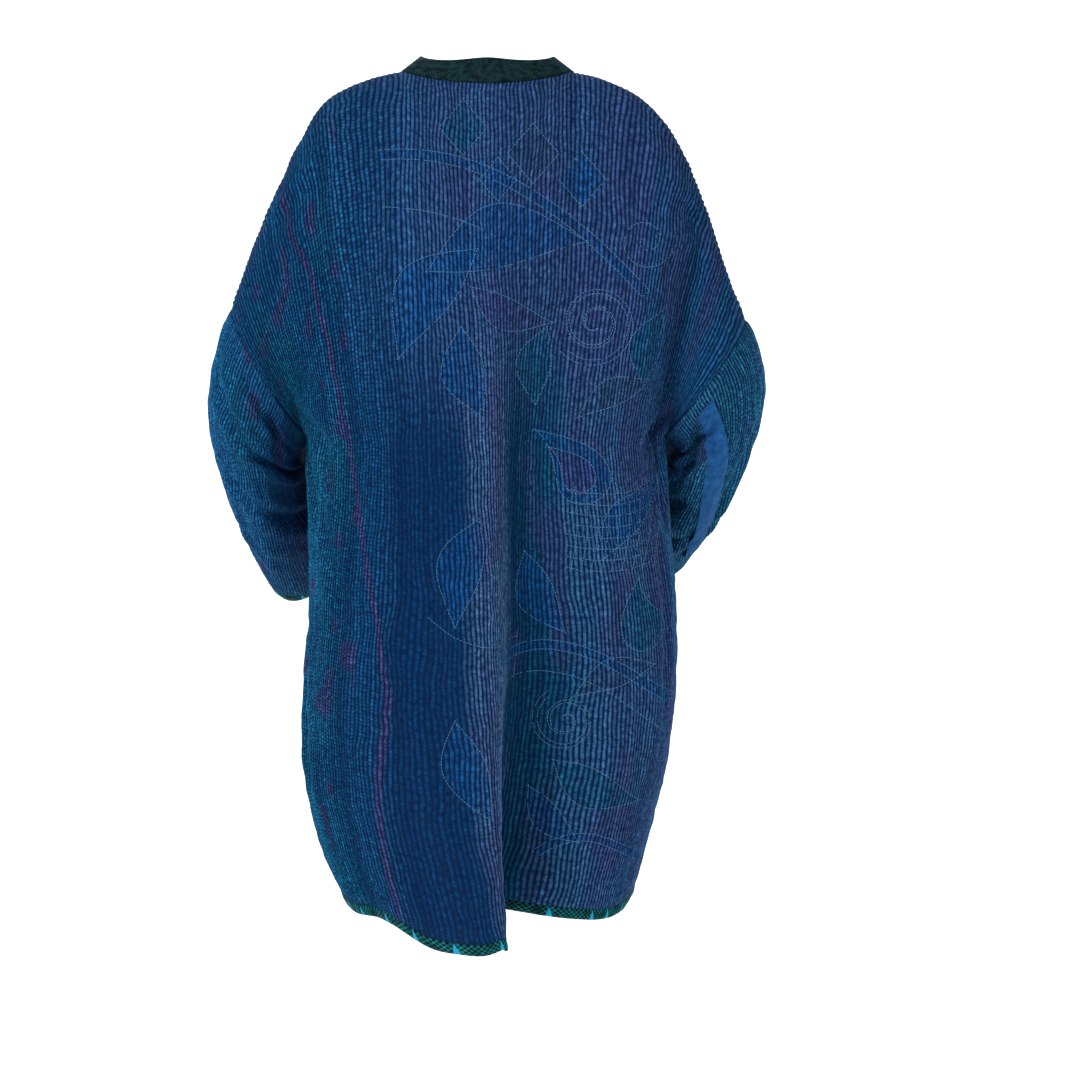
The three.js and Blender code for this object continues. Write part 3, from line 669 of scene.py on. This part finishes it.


# The back's colours: dye and pattern, with the painted pleat shadow and the painted highlight of the lower
# bands
def back_dye_and_painted_light(u, v):
    s, down = 2 * u - 1, v * PANEL_LENGTH
    strayed = s + 0.02 * lumps(s * 9, down / 120, 21)
    colours = mix(dyed(strayed, UPPER_DYE), dyed(strayed, LOWER_DYE_AND_PAINTED_LIGHT), smooth((v - 0.24) / 0.2)[..., None])
    patches = lumps(s * 14, down / 75, 22)
    colours = toned(colours, 0.5 * smooth(1.6 * patches) * smooth((0.2 - s) / 0.14), "#5a4f86")
    colours = toned(colours, 0.6 * smooth(-1.6 * patches) * smooth((s - 0.2) / 0.3), "#0c5688")
    teal = smooth(1.8 * lumps(s * 9 + 5, down / 95, 23)) * smooth((s - 0.4) / 0.2)
    colours = toned(colours, 0.32 * teal, "#128090")
    place = back_cloth(u, v)
    worn = 0.62 + 0.3 * lumps(s * 40, down / 16, 24)
    for line, fill in MOTIFS:
        if fill:
            colours = toned(colours, worn * covered(line, place[:, 0], -place[:, 2]), fill)
    from_stripe = np.abs(s - np.interp(v, STRIPE_DOWN, STRIPE_ACROSS)) / STRIPE_HALF
    colours = toned(colours, 0.75 * smooth(1.5 - from_stripe), "#74508e")
    touches = smooth((lumps(s * 14 + 3, down / 34, 25) - 0.5) * 5) * (s > 0.45)
    colours = toned(colours, 0.6 * touches, "#6b4684")
    return broken(colours, mix(0.45, 1, smooth((s - 0.25) / 0.2)))

# %% [markdown]
# The pattern is of the common kind: leaves, curling stems, diamonds and small paisleys, each outlined
# with pale stitches. The outlines are worked out as they hang, seen straight from behind, in millimetres
# to the wearer's left and down from the shoulders.

# %% Leaves, stems and paisleys
def turned(line, centre, degrees):
    a, b = math.cos(math.radians(degrees)), math.sin(math.radians(degrees))
    return line @ ((a, b), (-b, a)) + centre


def leaf(centre, length, width, degrees, bend=0.1):
    t = np.linspace(0, 1, 40)
    half = width / 2 * np.sin(np.pi * t) ** 1.1 * (1.15 - 0.4 * t)
    spine = bend * length * np.sin(np.pi * t)
    y = (t - 0.5) * length
    outline = np.concatenate([points(spine + half, y), points(spine - half, y)[::-1]])
    return turned(outline, centre, degrees)


def paisley(centre, size, degrees, curl=0.5):
    t = np.linspace(0, 2 * np.pi, 60)
    y = -np.cos(t) * size / 2
    x = np.sin(t) * np.sin(t / 2) ** 1.4 * size * 0.42
    tip = np.clip(-y / size + 0.1, 0, None)
    return turned(points(x + curl * size * tip ** 2 * 1.8, y), centre, degrees)


def diamond(centre, size):
    corner = np.array([(0, -size), (0.88 * size, 0), (0, size), (-0.88 * size, 0), (0, -size)], float)
    t = np.linspace(0, 4, 41)
    return points(*[np.interp(t, range(5), way) for way in corner.T]) + centre


def scroll(centre, radius, turns, degrees, hand=1):
    t = np.linspace(0, 1, 70)
    angle = hand * 2 * np.pi * turns * t
    spiral = points(np.cos(angle), np.sin(angle)) * (radius * (1 - 0.86 * t))[:, None]
    return turned(spiral, centre, degrees)


def stem(start, through, end):
    t = np.linspace(0, 1, 80)[:, None]
    start, through, end = (np.array(p, float) for p in (start, through, end))
    return (1 - t) ** 2 * start + 2 * t * (1 - t) * through + t * t * end


def ribbon(start, through, end, width):
    """A stem with a second line beside it, closed at its ends."""
    middle = stem(start, through, end)
    slope = np.gradient(middle, axis=0)
    beside = unit(points(-slope[:, 1], slope[:, 0])) * width / 2
    return np.concatenate([middle + beside, (middle - beside)[::-1]])


def covered(outline, across, down):
    """1 inside a closed outline and 0 outside, counting how often a line to the side crosses it."""
    low, high = outline.min(0), outline.max(0)
    near = (across > low[0]) & (across < high[0]) & (down > low[1]) & (down < high[1])
    inside = np.zeros(np.shape(across))
    x, y = across[near], down[near]
    hits = np.zeros(x.shape, int)
    for (x0, y0), (x1, y1) in zip(outline, np.roll(outline, -1, axis=0)):
        spans = (y0 > y) != (y1 > y)
        hits += spans & (x < (x1 - x0) * (y - y0) / ((y1 - y0) or 1e-9) + x0)
    inside[near] = hits % 2
    return inside


BLUE, TEAL, PURPLE, GREY = "#135ca0", "#146688", "#584e86", "#475a7c"
# Each outline, and the dye inside it
MOTIFS = [
    (diamond((24, 58), 28), TEAL),
    (diamond((-48, 84), 30), GREY),
    (diamond((-98, 110), 28), BLUE),
    (diamond((-12, 110), 22), BLUE),
    (leaf((-22, 188), 168, 66, 100, -0.14), BLUE),
    (leaf((50, 236), 140, 62, -36, 0.14), BLUE),
    (leaf((-26, 236), 92, 34, 66, 0.12), PURPLE),
    (ribbon((110, 86), (-22, 70), (-164, 226), 10), BLUE),
    (stem((106, 138), (50, 138), (4, 160)), None),
    (scroll((-112, 256), 46, 2.2, 40), None),
    (scroll((-112, 256), 40, 2.2, 46), None),
    (scroll((-164, 172), 32, 1.6, 200, -1), None),
    (leaf((-56, 300), 82, 38, -8), TEAL),
    (leaf((14, 304), 96, 46, 14), BLUE),
    (leaf((-132, 336), 84, 30, -64), GREY),
    (leaf((-172, 284), 80, 36, -14), TEAL),
    (paisley((-94, 400), 94, 20), BLUE),
    (paisley((-92, 406), 58, 20), PURPLE),
    (leaf((-60, 540), 100, 42, 26), BLUE),
    (leaf((-150, 470), 96, 40, -38), BLUE),
    (stem((60, 560), (20, 590), (-30, 586)), None),
    (leaf((-134, 640), 92, 34, -70), GREY),
    (leaf((20, 510), 116, 48, -12, 0.08), BLUE),
    (ribbon((-14, 606), (-90, 572), (-196, 668), 10), BLUE),
    (stem((-14, 632), (-98, 604), (-192, 708)), None),
    (paisley((-158, 572), 76, 30, -0.5), TEAL),
    (scroll((-82, 682), 38, 2.0, 300), None),
    (scroll((-82, 682), 32, 2.0, 306), None),
    (leaf((14, 716), 112, 50, 20, 0.08), BLUE),
    (leaf((-116, 752), 108, 46, 62), TEAL),
    (leaf((-70, 790), 86, 34, 40), BLUE),
    (ribbon((-50, 836), (-110, 790), (-166, 852), 9), BLUE),
    *[(stem((x, 424), (x - 10, 470), (x + 4, 520)), None) for x in range(-90, -189, -11)],
    *[(stem((-84, y + 4), (-132, y + 16), (-182, y)), None) for y in range(426, 522, 12)],
]

# %% [markdown]
# The back is one wide panel with drop shoulders. It is 148 rows wide, and a deep pleat runs down its
# centre with the left side over the right. The fine grid has four columns to a row.

# %% The back
PANEL_END = 1 - (BINDING + SEAM_GAP) / PANEL_LENGTH


def panel_v(v):
    """The panels end where the hem binding begins."""
    return v * PANEL_END


def seam_facing(side, v, facing):
    """How the cloth faces along the armhole and the side seam, the same for back and front."""
    upper, lower = levels(v)
    out, sideways, up = mix(0.92, 1, upper), 0.9 * np.sin(np.pi * upper), mix(0.38, 0, upper)
    high = unit(points(side * out, sideways * facing, up))
    turn = np.radians(read(BODY, "seam", lower))
    a, b = ring(turn - 1e-3, side > 0, lower), ring(turn + 1e-3, side > 0, lower)
    low = unit(points(side * (a[1] - b[1]), b[0] - a[0], 0))
    return np.where((upper < 1)[..., None], high, low)


ACROSS = 330   # mm from the centre to the side seam, along the cloth
BACK_ROWS = 2 * ROW_HALF_COUNT
BACK_SEED = 11


def back_cloth(u, v):
    v = np.clip(v, 0, None)
    return back_surface(2 * (u + wander(u, v, BACK_ROWS, PANEL_LENGTH, 5)) - 1, panel_v(v))


# Sharp creases of the back: the two ends of each in mm across and down, half width, depth
BACK_CREASES = [
    (300, 330, 200, 470, 13, 5), (312, 400, 236, 560, 11, 5), (290, 300, 190, 360, 12, 4),
    (262, 90, 150, 170, 14, 4), (120, 60, 190, 200, 12, 3.5), (250, 470, 170, 640, 12, 4),
    (-300, 340, -214, 450, 13, 5), (-306, 400, -250, 560, 11, 5), (-262, 80, -160, 190, 14, 4),
    (-120, 60, -176, 190, 12, 3), (90, 480, 60, 900, 12, 3), (-150, 560, -190, 880, 12, 3),
    (-244, 500, -214, 780, 10, 3.5), (276, 640, 236, 900, 12, 4),
]


def creased(lines, across, down):
    """How far sharp hollows along straight lines move the cloth, in mm."""
    moved = 0
    for x0, y0, x1, y1, half, deep in lines:
        length = math.hypot(x1 - x0, y1 - y0)
        along = ((across - x0) * (x1 - x0) + (down - y0) * (y1 - y0)) / length
        aside = ((across - x0) * (y1 - y0) - (down - y0) * (x1 - x0)) / length
        aside = aside / half + 0.1 * np.sin(along / 14)
        swell = 0.5 * np.exp(-(np.abs(aside) - 1.9) ** 2)
        fade = smooth(along / length * 3) * smooth((1 - along / length) * 3)
        moved = moved + deep * fade * (swell - np.exp(-aside ** 2))
    return moved


def back_dents(u, v):
    return taper(u, v, BACK_ROWS / 6) * creased(BACK_CREASES, (2 * u - 1) * ACROSS, v * PANEL_LENGTH)


def back_edge(u, v):
    side = np.where(u < 0.5, -1, 1)
    return seam_facing(side, panel_v(v), 1), (u < 1e-6) | (u > 1 - 1e-6)


back = stitched_piece(
    "back_cloth", back_cloth, BACK_ROWS, PANEL_LENGTH, BACK_SEED, 144, 60,
    edge=back_edge, paint=back_dye_and_painted_light, dents=back_dents)

# %% [markdown]
# The fronts are built the same way, 53 rows wide each, from the front edge round to the side seam. No
# view of them exists, so they carry the plain bands of dye that the sides show.

# %% The fronts
FRONT_ROWS = round(ROW_HALF_COUNT * (1 - NECK_SHARE))
FRONT_DYE = [(0.0, "#3f5f94"), (0.3, "#33598e"), (0.6, "#2a629a"), (1.0, "#2368a0")]


def front_cloth(side):
    across = (lambda u: 1 - u) if side > 0 else (lambda u: u)

    def surface(u, v):
        strayed = u + wander(u, v, FRONT_ROWS, PANEL_LENGTH, 31 + side)
        return front_surface(side, across(strayed), panel_v(v))

    def edge(u, v):
        return seam_facing(side, panel_v(v), -1), across(u) > 1 - 1e-6

    def cloth_colours(u, v):
        s = across(u)
        colours = dyed(s + 0.03 * lumps(s * 6, v * 9, 41 + side), FRONT_DYE)
        patches = lumps(s * 8, v * 13, 43 + side)
        colours = toned(colours, 0.4 * smooth(patches), "#4d5088")
        return broken(colours, 0.8)

    word = "left" if side > 0 else "right"
    return stitched_piece(
        f"front_cloth_{word}", surface, FRONT_ROWS, PANEL_LENGTH, 51 + side, 120, 60, edge=edge, paint=cloth_colours)


fronts = {"left": front_cloth(1), "right": front_cloth(-1)}

# %% [markdown]
# Each sleeve is a wide tube set into the armhole, with its stitch rows along its length. The tube is made
# as a flat wall too, and its two long edges are welded where they meet under the arm.

# %% The sleeves
SLEEVE_ROWS = 108
CUFF_SHARE = BINDING / SLEEVE_LENGTH
SLEEVE_END = 1 - CUFF_SHARE - SEAM_GAP / SLEEVE_LENGTH
# From about 128 degrees round to 230, on the side that lies against the body, each sleeve is darkened:
# painted shade
SLEEVE_DYE_AND_SHADE = {
    "left": [
        (0, "#2878b8"), (60, "#2c78b4"), (104, "#2c74ac"), (128, "#174c7c"), (150, "#082a50"),
        (230, "#154c7c"), (360, "#2878b8"),
    ],
    "right": [
        (0, "#3c84b6"), (60, "#3c84b6"), (112, "#4c90c2"), (136, "#3872a8"), (156, "#184676"),
        (230, "#265e92"), (360, "#3c84b6"),
    ],
}
WELD = 205   # the turn at which the tube's long edges meet, out of sight under the arm


def turn_at(side):
    """The turn at each place across the flat tube, from the weld right round to it again."""
    return (lambda u: WELD + 360 * (1 - u)) if side > 0 else (lambda u: WELD + 360 * u)


# Sharp creases of the sleeves, by the turn in degrees and mm along the sleeve
SLEEVE_CREASES = {
    "left": [
        (20, 60, 120, 120, 9, 5), (60, 30, 160, 70, 9, 6), (84, 104, 178, 146, 8, 11),
        (30, 150, 130, 200, 9, 5), (90, 190, 178, 226, 9, 7), (20, 230, 120, 262, 8, 4),
        (300, 80, 350, 160, 9, 4), (110, 20, 140, 130, 9, 5),
    ],
    "right": [
        (124, 20, 134, 190, 10, 8), (80, 60, 170, 96, 9, 6), (100, 120, 176, 150, 8, 6),
        (30, 90, 62, 250, 9, 4), (96, 180, 176, 214, 9, 7), (20, 220, 110, 256, 8, 4),
        (300, 80, 350, 160, 9, 4), (66, 210, 150, 262, 8, 5),
    ],
}
DEGREE = math.pi * SLEEVE_RADIUS / 180


def armhole_facing(side, turn):
    out, down = armhole_lines(LEFT_SLEEVE if side > 0 else RIGHT_SLEEVE)
    angle = np.radians(turn)[..., None]
    facing = unit(out * np.cos(angle) / (out @ out) + down * np.sin(angle) / (down @ down))
    return facing * np.array([side, 1, 1])


def sleeve_dents(word, turn, v):
    lines = [(x0 * DEGREE, y0, x1 * DEGREE, *rest) for x0, y0, x1, *rest in SLEEVE_CREASES[word]]
    room = smooth(v * 15) * smooth((1 - v) * 15)
    return room * creased(lines, turn % 360 * DEGREE, v * SLEEVE_LENGTH)


def sleeve_cloth(side):
    word = "left" if side > 0 else "right"
    turn = turn_at(side)

    def surface(u, v):
        strayed = u + wander(u, v, SLEEVE_ROWS, SLEEVE_LENGTH, 61 + side)
        return sleeve_surface(side, turn(strayed), v * SLEEVE_END)

    def edge(u, v):
        return armhole_facing(side, turn(u)), v < 1e-6

    # The sleeve's colours: dye, and painted shade on the side against the body
    def cloth_colours(u, v):
        around = turn(u) % 360
        colours = dyed(around + 12 * lumps(around / 60, v * 4, 71 + side), SLEEVE_DYE_AND_SHADE[word])
        teal = smooth(1.8 * lumps(around / 40 + 3, v * 5, 77 + side))
        colours = toned(colours, 0.45 * teal, "#12788e")
        patches = lumps(around / 26, v * 6, 73 + side)
        colours = toned(colours, 0.45 * smooth(patches), "#47578f")
        touches = smooth((lumps(around / 22, v * 7 + 2, 75 + side) - 0.45) * 4)
        colours = toned(colours, 0.65 * touches, "#674a88")
        return broken(colours, 0.9)

    return stitched_piece(
        f"sleeve_cloth_{word}", surface, SLEEVE_ROWS, SLEEVE_LENGTH, 81 + side, 96, 32,
        wraps=True, edge=edge, paint=cloth_colours, dents=lambda u, v: sleeve_dents(word, turn(u), v))


sleeves = {"left": sleeve_cloth(1), "right": sleeve_cloth(-1)}

# %% [markdown]
# The bindings are folded over the raw edges, so they stand a little proud of the cloth and are a little
# rounded. Each is a short wall on the same surface as the panel or sleeve that it edges.

# %% Bindings
BINDING_WALL = 2.2
BACK_HEM, FRONT_HEM, CUFF_LENGTH = 640, 200, 380


def rounded(u, v):
    """A soft roll across the band's width."""
    return 0.9 * np.sin(np.pi * np.clip(v, 0, 1)) ** 0.6 + 0.35 * lumps(u * 60, v * 2, 91)


def hem_binding(name, surface, length):
    def band(u, v):
        return surface(u, mix(1 - BINDING / PANEL_LENGTH, 1, v))
    columns = int(length / 3)
    return cloth_piece(name, band, rounded, (length, BINDING), (columns, 6, columns // 2, 3), BINDING_WALL)


bindings = {
    "hem_band_back": hem_binding("hem_binding_back", lambda u, v: back_surface(2 * u - 1, v), BACK_HEM),
    "hem_band_left": hem_binding("hem_binding_left", lambda u, v: front_surface(1, 1 - u, v), FRONT_HEM),
    "hem_band_right": hem_binding("hem_binding_right", lambda u, v: front_surface(-1, u, v), FRONT_HEM),
}
for word, side in (("left", 1), ("right", -1)):
    bindings[f"cuff_band_{word}"] = cloth_piece(
        f"cuff_binding_{word}",
        lambda u, v, side=side: sleeve_surface(side, turn_at(side)(u), mix(1 - CUFF_SHARE, 1, v)),
        rounded, (CUFF_LENGTH, BINDING), (126, 6, 63, 3), BINDING_WALL, wraps=True)

# %% [markdown]
# The collar is a long flat band down both fronts. Near the neck it rises and stands round the nape. It
# is pieced below the neck on each side, as long bands are cut from short cloth.

# %% The collar
COLLAR_JOIN, COLLAR_LENGTH = 0.4, 2100
join_gap = SEAM_GAP / 2 / COLLAR_LENGTH
collar = {}
for node, start, end, columns in (
    ("collar_front_left", 0, COLLAR_JOIN - join_gap, 240),
    ("collar_neck", COLLAR_JOIN + join_gap, 1 - COLLAR_JOIN - join_gap, 150),
    ("collar_front_right", 1 - COLLAR_JOIN + join_gap, 1, 240),
):
    collar[node] = cloth_piece(
        node + "_cloth",
        lambda u, v, start=start, end=end: collar_surface(mix(start, end, u), v),
        lambda u, v: 0.8 * np.sin(np.pi * v) ** 0.5 + 0.3 * lumps(u * 30, v * 3, 93),
        ((end - start) * COLLAR_LENGTH, COLLAR_WIDTH), (columns, 14, columns // 3, 5))

# %% [markdown]
# A smooth strip is sewn over the back of the right sleeve. It lies on top of the ridges, so it is made
# from the sleeve's own points, moved outwards.

# %% The strip on the right sleeve
PATCH = dict(top=105, low=74, slant=0.85, half=11, start=0.06, end=0.74, wall=1.4, lift=1.6)
PLAIN_RIDGE = 1.2   # how far the plain walls' rows stand out
PATCH_LIFT = PLAIN_RIDGE + SEAM_GAP + PATCH["wall"] + PATCH["lift"]


def patch_place(u, v):
    middle = mix(PATCH["top"], PATCH["low"], smooth(v / PATCH["slant"]))
    return middle + mix(-PATCH["half"], PATCH["half"], u), mix(PATCH["start"], PATCH["end"], v)


def patch_surface(u, v):
    return sleeve_surface(-1, *patch_place(u, v))


def patch_relief(u, v):
    wrinkles = 0.5 * lumps(u * 3, v * 16, 95) + 0.35 * lumps(u * 7, v * 40, 96)
    return PATCH_LIFT + wrinkles - 0.6 * (1 - smooth(u * 5) * smooth((1 - u) * 5))


strip = cloth_piece(
    "sleeve_strip", patch_surface, patch_relief, size=(24, 210), segments=(24, 150, 6, 30),
    thickness=PATCH["wall"] - PATCH_LIFT, dents=lambda u, v: sleeve_dents("right", *patch_place(u, v)))

# %% [markdown]
# The outlines of leaves and scrolls are lines of small pale stitches, close behind each other. A stitch is
# a stretched ball laid along its line, a few are worn away, and all of them make one piece.

# %% Outline stitches
STITCH = (0.34, 1.7, 0.3)   # half width, half length and half height of one stitch
STITCH_STEP = 3.5
WORN_AWAY = 0.06
STITCHES_AT_ONCE = 100
SEARCH_GRID = 231, 194
SEARCH_STEPS, LONGEST_STEP = 5, 0.006   # the second as a share of the back
FOUND_WITHIN = 0.6   # mm


def crossed(a, b):
    return a[:, 0] * b[:, 1] - a[:, 1] * b[:, 0]


def seen_place(sought, start=None):
    """The outermost places on the back that lie at points across and down, and whether each was found."""
    if start is None:
        u, v = np.meshgrid(*map(np.linspace, (0.04, 0.02), (0.96, 0.985), SEARCH_GRID), indexing="ij")
        grid = back_cloth(u.ravel(), v.ravel())
        nearest = []
        for across, down in sought:
            away = np.hypot(grid[:, 0] - across, grid[:, 2] + down)
            nearest.append(np.argmax(np.where(away < max(away.min() + 0.5, 3.5), grid[:, 1], -1e3)))
        start = u.ravel()[nearest], v.ravel()[nearest]
    (u, v), step = start, 1e-3

    def flat(u, v):
        place = back_cloth(u, v)
        return points(place[:, 0], -place[:, 2])

    for _ in range(SEARCH_STEPS):
        here = flat(u, v)
        by_u, by_v = (flat(u + step, v) - here) / step, (flat(u, v + step) - here) / step
        miss = sought - here
        area = crossed(by_u, by_v)
        area = np.where(np.abs(area) < 1e3, 1e3, area)   # where the cloth is seen edge on
        move = np.array([crossed(miss, by_v), -crossed(miss, by_u)]) / area
        u, v = (u, v) + np.clip(move, -LONGEST_STEP, LONGEST_STEP)
        u, v = np.clip(u, 0.02, 0.98), np.clip(v, 0.01, 0.98)
    return (u, v), np.linalg.norm(sought - flat(u, v), axis=1) < FOUND_WITHIN


def outline_stitches():
    chance = np.random.default_rng(7)
    places, ahead = [], []
    for line, _ in MOTIFS:
        length = np.concatenate([[0], np.cumsum(np.linalg.norm(np.diff(line, axis=0), axis=1))])
        steps = np.arange(0, length[-1], STITCH_STEP)
        for shift, found in ((0, places), (1, ahead)):
            found.append(points(*[np.interp(steps + shift, length, way) for way in line.T]))
    places, ahead = np.concatenate(places), np.concatenate(ahead)
    (u, v), found = seen_place(places)
    (u_ahead, v_ahead), found_ahead = seen_place(ahead, (u, v))
    kept = found & found_ahead & (chance.random(len(places)) > WORN_AWAY)
    u, v, u_ahead, v_ahead = u[kept], v[kept], u_ahead[kept], v_ahead[kept]
    relief = ridges(BACK_ROWS, PANEL_LENGTH, BACK_SEED)(u, v) + back_dents(u, v)
    out = way_out(back_cloth, u, v, False)
    spot = back_cloth(u, v) + out * np.maximum(relief + 0.25, 0.7 * RIDGE)[:, None]
    along = back_cloth(u_ahead, v_ahead) - back_cloth(u, v)
    along = unit(along - (along * out).sum(-1, keepdims=True) * out)
    size = Matrix.Diagonal((*[s * MM for s in STITCH], 1))
    turns = [Matrix((row.cross(up).normalized(), row, up)).transposed().to_4x4()
             for row, up in zip(map(Vector, along), map(Vector, out))]
    whole, mesh = bmesh.new(), bpy.data.meshes.new("outline_stitches")
    for first in range(0, len(spot), STITCHES_AT_ONCE):
        bm = bmesh.new()
        for point, turn in list(zip(spot * MM, turns))[first:first + STITCHES_AT_ONCE]:
            laid = Matrix.Translation(point) @ turn @ size
            bmesh.ops.create_icosphere(bm, subdivisions=1, radius=1, matrix=laid)
        bm.to_mesh(mesh)
        bm.free()
        whole.from_mesh(mesh)
    for face in whole.faces:
        face.smooth = True
    whole.to_mesh(mesh)
    whole.free()
    print(f"outline_stitches: {len(spot)} stitches")
    return placed("outline_stitches", mesh)


stitches = outline_stitches()

# %% [markdown]
# Each piece takes its finish, rides with the coat, and stands for its plain wall. The area of each cloth
# piece is printed.

# %% Finishes and declarations
def dress(piece, material, node=None):
    piece.data.materials.append(material)
    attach(piece, "root")
    if node:
        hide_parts(node)


dress(back, BODY_COTTON, "back_panel")
dress(stitches, THREAD)
for word in ("left", "right"):
    dress(fronts[word], BODY_COTTON, f"front_panel_{word}")
    dress(sleeves[word], SLEEVE_COTTON, f"sleeve_{word}")
for node, piece in bindings.items():
    dress(piece, BINDING_CLOTH, node)
for node, piece in collar.items():
    dress(piece, COLLAR_CLOTH, node)
dress(strip, PATCH_CLOTH, "sleeve_patch_right")


def area_of(piece):
    return sum(p.area for p in piece.data.polygons) / 2


for piece in [back, *fronts.values(), *sleeves.values(), *bindings.values(), *collar.values(), strip]:
    print(f"{piece.name}: {area_of(piece):.4f} square metres")

# %% [markdown]
# The room is plain: a pale floor that curves up behind the coat without a corner, a big soft light above
# and beside the camera, and a weaker one opposite. The camera looks at the back, a little from above.

# %% Floor, light and camera
AIM = Vector((0, 0, -0.45))   # the coat's middle
FLOOR, FLOOR_BENDS = -1.25, 1.6   # its height, and how far behind the coat it starts to rise
LOOKS_DOWN = 11.5   # degrees


def backdrop():
    bm = bmesh.new()
    bmesh.ops.create_grid(bm, x_segments=8, y_segments=60, size=6)
    for vertex in bm.verts:
        behind = max(0.0, -vertex.co.y - FLOOR_BENDS)
        vertex.co.z = FLOOR + 2.2 * behind * behind / (behind + 1.2)
    for face in bm.faces:
        face.smooth = True
    mesh = bpy.data.meshes.new("floor")
    bm.to_mesh(mesh)
    bm.free()
    material, add = new_material("pale_floor")
    shader = add("BsdfPrincipled", {
        "Base Color": linear("#f4f4f2"), "Roughness": 0.9,
        "Emission Color": (1, 1, 1, 1), "Emission Strength": 0.35})
    add("OutputMaterial", {"Surface": shader})
    mesh.materials.append(material)
    placed("floor", mesh)


def soft_light(name, place, size, power, colour):
    data = bpy.data.lights.new(name, "AREA")
    data.shape, data.size, data.energy, data.color = "DISK", size, power, linear(colour)[:3]
    light = placed(name, data)
    light.location = place
    light.rotation_euler = (AIM - Vector(place)).to_track_quat("-Z", "Y").to_euler()


backdrop()
soft_light("key", (1.7, 2.0, 1.6), 1.0, 75, "#ffffff")
soft_light("fill", (-2.2, 1.6, 0.6), 1.8, 14, "#ffffff")
soft_light("front", (0.3, -2.4, 1.4), 1.6, 30, "#ffffff")
world = bpy.data.worlds.new("studio")
world.use_nodes = True
world.node_tree.nodes["Background"].inputs["Color"].default_value = (1, 1, 1, 1)
world.node_tree.nodes["Background"].inputs["Strength"].default_value = 0.6
bpy.context.scene.world = world
bpy.context.scene.view_settings.view_transform = "Standard"

camera_data = bpy.data.cameras.new("camera")
camera_data.lens = 71.1
camera_data.sensor_width = 36
camera = placed("camera", camera_data)
camera.location = (-0.055, 2.30, -0.036)
camera.rotation_euler = (math.radians(90 - LOOKS_DOWN), 0, math.pi)
bpy.context.scene.camera = camera
